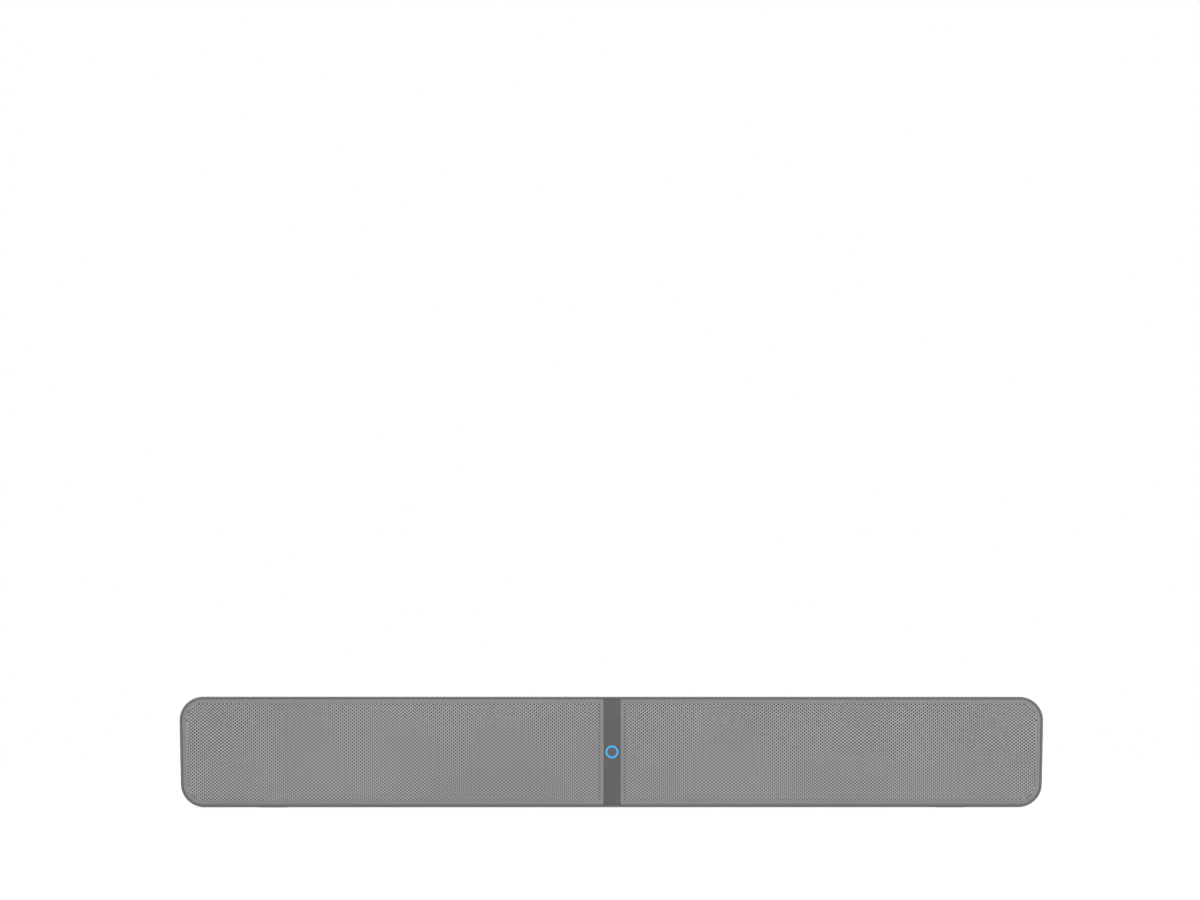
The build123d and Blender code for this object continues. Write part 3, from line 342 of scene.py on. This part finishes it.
# outline of the right-hand panel, set in from its edge, counter-clockwise as seen from the front
def panelOutline(low, high, inset, shape):
    corners = (
        (low.x, low.z, 1, 1, shape["innerCorner"], 180),
        (high.x - leanRun(low, high, shape), low.z, -1, 1, shape["outerCorner"], 270),
        (high.x, high.z, -1, -1, shape["outerCorner"], 0),
        (low.x, high.z, 1, -1, shape["innerCorner"], 90))
    points = []
    for x, z, inX, inZ, radius, start in corners:
        reach = max(radius * mm, inset + grille["leastRound"] * mm)
        bow = reach - inset
        for step in range(grille["cornerSteps"] + 1):
            angle = math.radians(start + 90 * step / grille["cornerSteps"])
            points.append((x + inX * reach + bow * math.cos(angle),
                           z + inZ * reach + bow * math.sin(angle)))
    return points


# hole centres, counted in half pitches from the middle of the panel, clear of the plain margin
def holeCentres(low, high):
    clear = (grille["margin"] + grille["hole"] / 2) * mm
    halfX, halfZ = (high.x - low.x) / 2 - clear, (high.z - low.z) / 2 - clear
    corner = grille["outerCorner"] * mm - clear
    stepX, stepZ = grille["pitchX"] / 2 * mm, grille["pitchZ"] / 2 * mm
    columns, rows = int(halfX / stepX), int(halfZ / stepZ)
    rise, run = halfZ - corner, leanRun(low, high, grille)
    centres = []
    for row in range(-rows, rows + 1):
        for column in range(-columns, columns + 1):
            lower = min(max((rise - row * stepZ) / (2 * rise), 0), 1)
            overX = column * stepX - (halfX - corner - lower * run)
            overZ = abs(row * stepZ) - rise
            cutOff = overX > 0 and overZ > 0 and math.hypot(overX, overZ) > corner
            if (row + column) % 2 == 0 and overX < corner and not cutOff:
                centres.append((column, row))
    return centres


def perforatedPanel(low, high):
    points, faces = [], []
    front, back = low.y, high.y
    middleX, middleZ = (low.x + high.x) / 2, (low.z + high.z) / 2
    stepX, stepZ = grille["pitchX"] / 2 * mm, grille["pitchZ"] / 2 * mm
    radius = grille["hole"] / 2 * mm * grille["octagon"]
    spokes = [(math.cos(math.pi * k / 4), math.sin(math.pi * k / 4)) for k in range(8)]
    shared, borders = {}, set()

    # each hole sits in a diamond whose corners it shares with its neighbours
    def diamondCorner(column, row):
        if (column, row) not in shared:
            shared[column, row] = len(points)
            points.append((middleX + column * stepX, front, middleZ + row * stepZ))
        return shared[column, row]

    for column, row in holeCentres(low, high):
        tips = [diamondCorner(column + 1, row), diamondCorner(column, row + 1),
                diamondCorner(column - 1, row), diamondCorner(column, row - 1)]
        rim = len(points)
        x, z = middleX + column * stepX, middleZ + row * stepZ
        for y in (front, front + grille["sheet"] * mm):
            points.extend((x + radius * c, y, z + radius * s) for c, s in spokes)
        for k in range(4):
            a, b = tips[k], tips[(k + 1) % 4]
            first, second, third = rim + 2 * k, rim + 2 * k + 1, rim + (2 * k + 2) % 8
            faces += [(a, b, second), (a, second, first), (b, third, second)]
            if (b, a) in borders:
                borders.remove((b, a))
            else:
                borders.add((a, b))
        for k in range(8):
            n = (k + 1) % 8
            faces.append((rim + k, rim + n, rim + 8 + n, rim + 8 + k))

    # plain margin between the outermost diamonds and the bend
    after = dict(borders)
    start = min(after)
    ragged, at = [start], after[start]
    while at != start:
        ragged.append(at)
        at = after[at]
    loops = []
    for step in range(grille["bendSteps"] + 1):
        angle = math.pi / 2 * step / grille["bendSteps"]
        loops.append((grille["bend"] * mm * (1 - math.sin(angle)),
                      front + grille["bend"] * mm * (1 - math.cos(angle))))
    loops += [(0, back), (grille["sheet"] * mm, back), (grille["sheet"] * mm, front + grille["sheet"] * mm)]
    rings = []
    for inset, y in loops:
        ring = panelOutline(low, high, inset, grille)
        rings.append([len(points) + i for i in range(len(ring))])
        points.extend((x, y, z) for x, z in ring)
    outer = rings[0]
    order = outer + ragged
    flat = [[Vector((points[i][0], points[i][2], 0)) for i in loop] for loop in (outer, ragged)]
    for triangle in geometry.tessellate_polygon(flat):
        a, b, c = (order[i] for i in triangle)
        ab = (points[b][0] - points[a][0], points[b][2] - points[a][2])
        ac = (points[c][0] - points[a][0], points[c][2] - points[a][2])
        faces.append((a, b, c) if ab[0] * ac[1] - ab[1] * ac[0] > 0 else (a, c, b))
    for near, far in zip(rings, rings[1:]):
        for i in range(len(near)):
            n = (i + 1) % len(near)
            faces.append((near[n], near[i], far[i], far[n]))
    return points, faces


# Painted highlight: the tone of the coat rises with the distance from the panel's edge, so that the punched
# field looks lighter than the plain border; it stands in for the light that each hole's rolled edge catches
fieldHighlightPaint = {"from": 5.0, "to": 7.5, "lift": 1.67}


def paintFieldHighlight(material, low, high):
    tree = material.node_tree
    shader = tree.nodes["Principled BSDF"]
    tone = shader.inputs["Base Color"].links[0].from_socket
    corner, slope = grille["outerCorner"] * mm, math.tan(math.radians(grille["lean"]))
    axes = addNode(tree, "SeparateXYZ", {0: addNode(tree, "TexCoord").outputs["Object"]})
    aside = addNode(tree, "Math", {0: axes.outputs["X"]}, operation="ABSOLUTE")
    atTop = (high.z - corner) * slope - high.x + corner
    drop = addNode(tree, "Math", {0: axes.outputs["Z"], 1: -slope, 2: atTop}, operation="MULTIPLY_ADD")
    outX = addNode(tree, "Math", {0: aside.outputs[0], 1: drop.outputs[0]}, operation="ADD")
    pastX = addNode(tree, "Math", {0: outX.outputs[0], 1: 0}, operation="MAXIMUM")
    upZ = addNode(tree, "Math", {0: axes.outputs["Z"], 1: (low.z + high.z) / 2}, operation="SUBTRACT")
    offZ = addNode(tree, "Math", {0: upZ.outputs[0]}, operation="ABSOLUTE")
    outZ = addNode(tree, "Math", {0: offZ.outputs[0], 1: (high.z - low.z) / 2 - corner},
                   operation="SUBTRACT")
    pastZ = addNode(tree, "Math", {0: outZ.outputs[0], 1: 0}, operation="MAXIMUM")
    past = addNode(tree, "CombineXYZ", {"X": pastX.outputs[0], "Z": pastZ.outputs[0]})
    reach = addNode(tree, "VectorMath", {0: past.outputs[0]}, operation="LENGTH")
    outer = addNode(tree, "Math", {0: corner, 1: reach.outputs["Value"]}, operation="SUBTRACT")
    inner = addNode(tree, "Math", {0: aside.outputs[0], 1: low.x}, operation="SUBTRACT")
    inside = addNode(tree, "Math", {0: outer.outputs[0], 1: inner.outputs[0]}, operation="MINIMUM")
    lift = addNode(tree, "MapRange", {
        "Value": inside.outputs[0], "From Min": fieldHighlightPaint["from"] * mm, "From Max": fieldHighlightPaint["to"] * mm,
        "To Min": 1, "To Max": fieldHighlightPaint["lift"]})
    # painted highlight: the coat's base colour is brightened over the punched field
    bright = addNode(tree, "HueSaturation", {"Color": tone, "Value": lift.outputs["Result"]})
    tree.links.new(bright.outputs[0], shader.inputs["Base Color"])


paintFieldHighlight(grilleCoat, *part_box("grille_right"))


# the same points and faces on the other side of the bar
def mirrored(points, faces):
    return [(-x, y, z) for x, y, z in points], [tuple(reversed(face)) for face in faces]


panelPoints, panelFaces = perforatedPanel(*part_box("grille_right"))
for side, shape in (("Right", (panelPoints, panelFaces)), ("Left", mirrored(panelPoints, panelFaces))):
    panel = addPiece(f"grille{side}Perforated", *shape, grilleCoat, "bar", "grille_steel")
    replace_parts(panel, f"grille_{side.lower()}")
print("grilles perforated:", len(panelFaces), "faces each")

# Cloth stretched behind each panel: a thin sheet, pressed thinner along its glued edge
cloth = {"outerCorner": 25.05, "innerCorner": 0.7, "hem": 4.0, "press": 0.12}


def stretchedCloth(low, high):
    points, faces, rings = [], [], []
    for inset, y in ((cloth["hem"] * mm, low.y), (0, low.y + cloth["press"] * mm),
                     (0, high.y), (cloth["hem"] * mm, high.y)):
        ring = panelOutline(low, high, inset, cloth)
        rings.append([len(points) + i for i in range(len(ring))])
        points.extend((x, y, z) for x, z in ring)
    faces += [tuple(rings[0]), tuple(reversed(rings[-1]))]
    for near, far in zip(rings, rings[1:]):
        for i in range(len(near)):
            n = (i + 1) % len(near)
            faces.append((near[n], near[i], far[i], far[n]))
    return points, faces


clothLow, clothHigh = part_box("grille_cloth_right")
clothSize = (clothHigh.x - clothLow.x, clothHigh.z - clothLow.z)
clothCut = (2 - math.pi / 2) * ((cloth["outerCorner"] * mm) ** 2 + (cloth["innerCorner"] * mm) ** 2)
clothCut += leanRun(clothLow, clothHigh, cloth) * clothSize[1] / 2
clothPoints, clothFaces = stretchedCloth(clothLow, clothHigh)
for side, shape in (("Right", (clothPoints, clothFaces)), ("Left", mirrored(clothPoints, clothFaces))):
    sheet = addPiece(f"acousticCloth{side}", *shape, acousticCloth, "bar", "acoustic_cloth")
    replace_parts(sheet, f"grille_cloth_{side.lower()}")
print("cloths stretched: %.1f x %.1f mm flat" % (clothSize[0] / mm, clothSize[1] / mm))


# A closed section, as (radius, distance in front) in mm, turned about a driver's axis
def turnedRing(section, centre, spokes):
    points, faces = [], []
    for n in range(spokes):
        c, s = math.cos(2 * math.pi * n / spokes), math.sin(2 * math.pi * n / spokes)
        points.extend((centre.x + r * c * mm, centre.y - h * mm, centre.z + r * s * mm) for r, h in section)
    count = len(section)
    for n in range(spokes):
        a, b = n * count, (n + 1) % spokes * count
        faces += [(a + (k + 1) % count, b + (k + 1) % count, b + k, a + k) for k in range(count)]
    return points, faces


# A soft ring between the cabinet and a diaphragm, turned about the driver's axis in place of the CAD node
def softRing(node, section, material, slot, centre, spokes=72):
    points, faces = turnedRing(section, centre, spokes)
    ring = addPiece(node + "_soft", points, faces, material, None, slot)
    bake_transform(ring)
    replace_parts(ring, node)


# Rubber rolls round the cones and radiators: half-round, with a flat glued foot on each side
rolls = {"woofer": 7.0, "mid": 5.0, "radiator": 7.0, "foot": 2.5, "skin": 0.7, "steps": 16}


def rollSection(outerRadius, width):
    skin, foot = rolls["skin"], rolls["foot"]
    seat = outerRadius - foot
    lip, middle, bow = seat - width, seat - width / 2, width / 2
    crown = math.asin(skin / bow)
    section = [(lip - foot, 0), (lip - foot, skin)]
    for k in range(rolls["steps"] + 1):
        angle = math.pi - crown - (math.pi - 2 * crown) * k / rolls["steps"]
        section.append((middle + bow * math.cos(angle), bow * math.sin(angle)))
    section += [(seat + foot, skin), (seat + foot, 0)]
    for k in range(rolls["steps"] + 1):
        angle = math.pi * k / rolls["steps"]
        section.append((middle + (bow - skin) * math.cos(angle), (bow - skin) * math.sin(angle)))
    return section, seat - skin, lip + skin


# Corrugated spiders behind the woofers' cones
spider = {"coil": 10.05, "seat": 28.0, "waves": 3, "swing": 1.1, "skin": 0.7, "steps": 60,
          "land": 1.5, "grip": 1}


def spiderSection(rim):
    first, last = spider["coil"] + spider["land"], spider["seat"] - spider["land"]
    top = []
    for k in range(spider["steps"] + 1):
        radius = spider["coil"] + (rim - spider["coil"]) * k / spider["steps"]
        share = (radius - first) / (last - first)
        wave = math.sin(2 * math.pi * spider["waves"] * share) if 0 < share < 1 else 0
        top.append((radius, spider["skin"] / 2 + spider["swing"] * wave))
    return top + [(radius, height - spider["skin"]) for radius, height in reversed(top)]


softRings = 0
for side in ("left", "right"):
    for driver in ("woofer", "mid", "radiator"):
        node, body = f"{driver}_{side}_surround", f"{driver}_{side}_diaphragm"
        low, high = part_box(node)
        section, fixed, free = rollSection((high.x - low.x) / 2 / mm, rolls[driver])
        centre = Vector(((low.x + high.x) / 2, high.y, (low.z + high.z) / 2))
        softRing(node, section, surroundRubber, "surround_rubber", centre)
        softRings += 1
    node, body = f"woofer_{side}_spider", f"woofer_{side}_diaphragm"
    low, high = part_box(node)
    rim = (high.x - low.x) / 2 / mm
    softRing(node, spiderSection(rim), spiderCotton, "spider_cloth",
             (low + high) / 2)
    softRings += 1
print("soft rings turned:", softRings)


# A printed line of even width: it follows points on a plane and stands up by its ink
def inkBand(points, faces, line, place, right, up):
    right, up = Vector(right), Vector(up)
    rise = right.cross(up) * marks["ink"] * mm
    closed = line[0] == line[-1]
    line = line[:-1] if closed else line
    count, start = len(line), len(points)
    for i, (x, y) in enumerate(line):
        before = line[i - 1] if i or closed else line[i]
        after = line[(i + 1) % count] if i + 1 < count or closed else line[i]
        coming = Vector((x - before[0], y - before[1])).normalized()
        going = Vector((after[0] - x, after[1] - y)).normalized()
        run = (coming + going).normalized()
        # keeps the width round a bend
        corner = max(run.dot(going if going.length else coming), marks["leastTurn"])
        for side in (0.5, -0.5):
            across = marks["stroke"] * side / corner
            foot = place + (right * (x - run.y * across) + up * (y + run.x * across)) * mm
            points += [foot, foot + rise]
    for i in range(count if closed else count - 1):
        a, b = start + 4 * i, start + 4 * ((i + 1) % count)
        faces += [(a + 1, a + 3, b + 3, b + 1), (a, a + 1, b + 1, b), (a + 3, a + 2, b + 2, b + 3)]
    if not closed:
        end = start + 4 * (count - 1)
        faces += [(start, start + 2, start + 3, start + 1), (end + 1, end + 3, end + 2, end)]


# an arc of a printed sign, in mm and degrees
def arc(radius, first, last, x=0, y=0):
    steps = marks["steps"]
    turns = [math.radians(first + (last - first) * k / steps) for k in range(steps + 1)]
    bow = [(x + radius * math.cos(t), y + radius * math.sin(t)) for t in turns]
    return bow[:-1] + bow[:1] if last - first == 360 else bow


def frameLine(wide, high, x=0, y=0):
    corners = ((-1, -1), (1, -1), (1, 1), (-1, 1), (-1, -1))
    return [(x + sx * wide / 2, y + sy * high / 2) for sx, sy in corners]


# Printed signs: on, source, quieter and louder on the buttons, and what each socket is for
marks = {"stroke": 0.55, "ink": 0.03, "steps": 28, "size": 2.1, "aboveSocket": 14.5, "leastTurn": 0.4}
# Screen-printed ink: flat pale grey, thin enough to follow the grain below it
markInk = grainedSkin("screen-printed ink", {
    "low": "#C6C6C6", "high": "#D6D6D6", "ior": 1.48, "grain": 0.8, "drift": 3,
    "rough": (0.5, 0.62), "strength": 0.1, "relief": 0.02})
r = marks["size"]
buttonSigns = {
    "power_button": [arc(r, 125, 415), [(0, 0.1 * r), (0, 1.15 * r)]],
    "source_button": [[(-0.2 * r, 0.9 * r), (1.2 * r, 0.9 * r), (1.2 * r, -0.9 * r), (-0.2 * r, -0.9 * r)],
                      [(-1.3 * r, 0), (0.45 * r, 0)],
                      [(-0.15 * r, 0.5 * r), (0.5 * r, 0), (-0.15 * r, -0.5 * r)]],
    "volume_down_button": [[(-r, 0), (r, 0)]],
    "volume_up_button": [[(-r, 0), (r, 0)], [(0, -r), (0, r)]]}
for button, lines in buttonSigns.items():
    low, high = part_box(button)
    points, faces = [], []
    for line in lines:
        inkBand(points, faces, line, Vector(((low.x + high.x) / 2, (low.y + high.y) / 2, high.z)),
                (1, 0, 0), (0, 1, 0))
    addPiece(button + "_mark", points, faces, markInk, button, "strip_gloss")

socketSigns = {
    "power_inlet": [[(x / 4, 1.3 * math.sin(x * math.pi / 12)) for x in range(-12, 13)]],
    "video_socket": [frameLine(6.4, 4.2, 0, 0.5), [(-1.6, -2.6), (1.6, -2.6)]],
    "optical_socket": [arc(2.3, 0, 360), arc(0.5, 0, 360)],
    "media_socket": [frameLine(2.8, 3.6, 0, -0.8), frameLine(1.7, 1.6, 0, 2.1)],
    "network_socket": [frameLine(1.7, 1.7, 0, 1.9), frameLine(1.7, 1.7, -2.4, -1.9),
                       frameLine(1.7, 1.7, 2.4, -1.9), [(0, 0.2), (0, 0.9)],
                       [(-2.4, -0.8), (-2.4, 0), (2.4, 0), (2.4, -0.8)]]}
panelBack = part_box("io_panel")[1].y
for socket, lines in socketSigns.items():
    low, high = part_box(socket)
    points, faces = [], []
    for line in lines:
        spot = Vector(((low.x + high.x) / 2, panelBack, (low.z + high.z) / 2 + marks["aboveSocket"] * mm))
        inkBand(points, faces, line, spot, (-1, 0, 0), (0, 0, 1))
    addPiece(socket + "_mark", points, faces, markInk, "bar", "io_steel")
print("signs printed:", len(buttonSigns) + len(socketSigns))

# Pan-head screws with a cross recess: the head is turned, then pressed in by the driver bit
screw = {"head": 2.5, "shank": 1.5, "rise": 2.0, "rim": 0.25, "tip": 0.6, "pitch": 0.9, "thread": 0.16,
         "armWidth": 0.7, "armReach": 1.5, "sink": 1.1, "spokes": 36, "rings": 12,
         "point": 0.4, "edge": 0.1, "crown": 2.6, "perMetre": 1e5}  # perMetre: grid for matching points


# places of the CAD screws: the point under each head, the way the head faces, the shank's length
def screwPlaces(node):
    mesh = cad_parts[node].data
    keys = [tuple(round(c * screw["perMetre"]) for c in vertex.co) for vertex in mesh.vertices]
    leader = {key: key for key in keys}

    def lead(key):
        while leader[key] != key:
            key = leader[key]
        return key

    for polygon in mesh.polygons:
        first = lead(keys[polygon.vertices[0]])
        for index in polygon.vertices[1:]:
            leader[lead(keys[index])] = first
    groups = {}
    for key in leader:
        groups.setdefault(lead(key), []).append(Vector(key) / screw["perMetre"])
    places = []
    for group in groups.values():
        low = [min(p[i] for p in group) for i in range(3)]
        high = [max(p[i] for p in group) for i in range(3)]
        along = max(range(3), key=lambda i: high[i] - low[i])
        middle = Vector([(a + b) / 2 for a, b in zip(low, high)])
        ends = [max((p - middle).length for p in group if abs(p[along] - end) < 1 / screw["perMetre"])
                for end in (low[along], high[along])]
        way = 1 if ends[1] > ends[0] else -1
        facing = Vector([way if i == along else 0 for i in range(3)])
        top = high[along] if way > 0 else low[along]
        middle[along] = top - way * screw["rise"] * mm
        places.append((middle, facing, (high[along] - low[along]) / mm - screw["rise"]))
    return places


def crossScrew(points, faces, base, facing, length):
    side = facing.orthogonal().normalized()
    other = facing.cross(side)
    crests = int(2 * (length - screw["tip"]) / screw["pitch"])
    profile = [(screw["point"], -length)]
    for k in range(crests + 1):
        radius = screw["shank"] - (screw["thread"] if k % 2 else 0)
        profile.append((radius, -length + screw["tip"] + k * (length - screw["tip"]) / crests))
    profile += [(screw["head"] - screw["edge"], 0), (screw["head"], screw["edge"])]
    for k in range(screw["rings"]):
        share = 1 - k / screw["rings"]
        dome = math.sqrt(1 - share ** screw["crown"])
        profile.append((screw["head"] * share, screw["rim"] + (screw["rise"] - screw["rim"]) * dome))
    start, spokes = len(points), screw["spokes"]
    for radius, height in profile:
        for n in range(spokes):
            angle = 2 * math.pi * n / spokes
            u, v = radius * math.cos(angle), radius * math.sin(angle)
            near, far = sorted((abs(u), abs(v)))
            pressed = height > screw["rise"] / 2 and near < screw["armWidth"] / 2 and far < screw["armReach"]
            sunk = screw["sink"] * (1 - far / screw["armReach"] / 2) if pressed else 0
            points.append(base + (side * u + other * v + facing * (height - sunk)) * mm)
    for k in range(len(profile) - 1):
        a, b = start + k * spokes, start + (k + 1) * spokes
        faces += [(a + n, a + (n + 1) % spokes, b + (n + 1) % spokes, b + n) for n in range(spokes)]
    faces.append(tuple(start + n for n in reversed(range(spokes))))
    points.append(base + facing * (screw["rise"] - screw["sink"]) * mm)  # the bottom of the recess
    faces += [(b + n, b + (n + 1) % spokes, len(points) - 1) for n in range(spokes)]


for node in ("board_screws", "front_screws"):
    points, faces = [], []
    places = screwPlaces(node)
    for base, facing, length in places:
        crossScrew(points, faces, base, facing, length)
    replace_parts(addPiece(node + "_cross", points, faces, screwZinc, "bar", "screw_steel", sharp=35), node)
    print(node, "turned:", len(places), "with", len(faces), "faces")


# A spring contact: a thin strip of even width along X that follows a line in the YZ plane
def contactStrip(points, faces, x, width, line, thick=0.08):
    start = len(points)
    for i, (y, z) in enumerate(line):
        before, after = line[max(i - 1, 0)], line[min(i + 1, len(line) - 1)]
        run = Vector((after[0] - before[0], after[1] - before[1])).normalized()
        for lift in (0.5, -0.5):
            for across in (-0.5, 0.5):
                points.append((x + across * width * mm, y - run.y * thick * lift * mm,
                               z + run.x * thick * lift * mm))
    for i in range(len(line) - 1):
        a, b = start + 4 * i, start + 4 * (i + 1)
        faces += [(a, a + 1, b + 1, b), (a + 3, a + 2, b + 2, b + 3), (a + 2, a, b, b + 2),
                  (a + 1, a + 3, b + 3, b + 1)]
    end = start + 4 * (len(line) - 1)
    faces += [(start + 1, start, start + 2, start + 3), (end, end + 1, end + 3, end + 2)]


# Contacts in the sockets, measured from the middle of each socket's face, in mm
contacts = {
    "video_socket": {"count": 10, "pitch": 1.0, "width": 0.5,
                    "line": [(-9.6, 0.84), (-2.2, 0.84), (-1.3, 0.6)]},
    "media_socket": {"count": 4, "pitch": 2.3, "width": 1.0,
                   "line": [(-9.6, -0.05), (-2.4, -0.05), (-1.3, 0.2)]},
    "network_socket": {"count": 8, "pitch": 1.02, "width": 0.45,
                       "line": [(-1.6, 5.2), (-2.4, 5.1), (-9.4, 2.2), (-10.6, 2.6)]}}
for socket, contact in contacts.items():
    low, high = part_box(socket)
    points, faces = [], []
    for k in range(contact["count"]):
        x = (low.x + high.x) / 2 + (k - (contact["count"] - 1) / 2) * contact["pitch"] * mm
        contactStrip(points, faces, x, contact["width"],
                     [(high.y + y * mm, (low.z + high.z) / 2 + z * mm) for y, z in contact["line"]])
    addPiece(socket + "_contacts", points, faces, contactGold, "bar", "socket_steel")

# Pins of the mains inlet: plated sleeves with round noses over the CAD pins
pins = {"pitch": 8.2, "radius": 1.23, "root": 10.98, "tip": 1.9, "spokes": 24, "nose": 6}
low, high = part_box("power_inlet")
points, faces = [], []
for side in (-1, 1):
    profile = [(pins["radius"], -pins["root"])]
    for k in range(pins["nose"] + 1):
        angle = math.pi / 2 * k / pins["nose"]
        profile.append((max(pins["radius"] * math.cos(angle), 0.02),
                        -pins["tip"] - pins["radius"] * (1 - math.sin(angle))))
    start, spokes = len(points), pins["spokes"]
    for radius, depth in profile:
        for n in range(spokes):
            angle = 2 * math.pi * n / spokes
            points.append(((low.x + high.x) / 2 + (side * pins["pitch"] / 2 + radius * math.cos(angle)) * mm,
                           high.y + depth * mm, (low.z + high.z) / 2 + radius * math.sin(angle) * mm))
    for k in range(len(profile) - 1):
        a, b = start + k * spokes, start + (k + 1) * spokes
        faces += [(a + (n + 1) % spokes, a + n, b + n, b + (n + 1) % spokes) for n in range(spokes)]
    faces.append(tuple(b + n for n in reversed(range(spokes))))
addPiece("inletPins", points, faces, socketTin, "bar", "socket_steel")
print("sockets fitted:", len(contacts) + 1)

# Studio: white room for the eye and for reflections, even grey light on the object
studio = {"sky": 0.46, "floorSize": 60, "floorDark": "#A8A8A8", "floorTone": "#AAAAAA", "floorGlow": 0.69,
          "fibre": 3}


# 1 where the room is looked at, mirrored or seen through glass, 0 where it only lights the object
def backdropRays(tree):
    rays = addNode(tree, "LightPath")
    seen = addNode(tree, "Math", {0: rays.outputs["Is Camera Ray"], 1: rays.outputs["Is Glossy Ray"]},
                   operation="ADD")
    return addNode(tree, "Math", {0: seen.outputs[0], 1: rays.outputs["Is Transmission Ray"]},
                   operation="ADD", use_clamp=True).outputs[0]


world = bpy.data.worlds.new("studio")
scene.world = world
world.use_nodes = True
tree = world.node_tree
shown = backdropRays(tree)
level = addNode(tree, "Math", {0: shown, 1: 1 - studio["sky"], 2: studio["sky"]}, operation="MULTIPLY_ADD")
sky = tree.nodes["Background"]
sky.inputs["Color"].default_value = (1, 1, 1, 1)
tree.links.new(level.outputs[0], sky.inputs["Strength"])

# Matt paper: no sheen, a trace of fibre
floorMaterial, tree, shader, place = startMaterial("matt paper floor", Roughness=0.9, IOR=1.3)
fibre = addNode(tree, "TexNoise", {"Vector": place, "Scale": 1 / (studio["fibre"] * mm), "Detail": 3})
paper = addNode(tree, "Mix", {
    0: fibre.outputs["Fac"], 6: colour(studio["floorDark"]), 7: colour(studio["floorTone"])},
    data_type="RGBA")
shown = backdropRays(tree)
glow = addNode(tree, "Math", {0: shown, 1: studio["floorGlow"]}, operation="MULTIPLY")
tree.links.new(paper.outputs[2], shader.inputs["Base Color"])
tree.links.new(glow.outputs[0], shader.inputs["Emission Strength"])
shader.inputs["Emission Color"].default_value = (1, 1, 1, 1)
half = studio["floorSize"] / 2
floorMesh = bpy.data.meshes.new("studioFloor")
floorCorners = [(-half, -half, 0), (half, -half, 0), (half, half, 0), (-half, half, 0)]
floorMesh.from_pydata(floorCorners, [], [(0, 1, 2, 3)])
floorMesh.materials.append(floorMaterial)
studioFloor = bpy.data.objects.new("studioFloor", floorMesh)
scene.collection.objects.link(studioFloor)

# Far lamps: broad ones high in front and behind, and a low one in front that reaches the bottom edge
lamps = {"frontLamp": ((-0.4, -1.0, 0.6), 70, 0.85), "rearLamp": ((0.5, 1.0, 0.9), 70, 1.0),
         "fillLamp": ((0.7, -1.0, 0.12), 24, 1.3)}
for name, (spot, spread, power) in lamps.items():
    light = bpy.data.lights.new(name, "SUN")
    light.angle, light.energy = math.radians(spread), power
    lamp = bpy.data.objects.new(name, light)
    lamp.location = spot
    lamp.rotation_euler = (-Vector(spot)).to_track_quat("-Z", "Y").to_euler()
    scene.collection.objects.link(lamp)

# Camera: long lens, level with the bar, tilted so that the bar sits low in the picture
view = {"lens": 180, "sensor": 36, "distance": 7.439, "azimuth": -1.3, "wide": 1200, "high": 900,
        "barAt": (612.0, 751.9), "farthest": 100}
barLow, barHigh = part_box("rear_shell")
barFace = Vector((0, barLow.y, (barLow.z + barHigh.z) / 2))
turn = math.radians(view["azimuth"])
pixels = view["lens"] / view["sensor"] * view["wide"]
aside = math.atan((view["barAt"][0] - view["wide"] / 2) / pixels)
below = math.atan((view["barAt"][1] - view["high"] / 2) / pixels)
lens = bpy.data.cameras.new("camera")
lens.lens, lens.sensor_width, lens.clip_end = view["lens"], view["sensor"], view["farthest"]
camera = bpy.data.objects.new("camera", lens)
camera.location = barFace + Vector((math.sin(turn), -math.cos(turn), 0)) * view["distance"]
camera.rotation_euler = (math.pi / 2 + below, 0, turn + aside)
scene.collection.objects.link(camera)
scene.camera = camera
scene.view_settings.view_transform = "Standard"
print("studio and camera set")
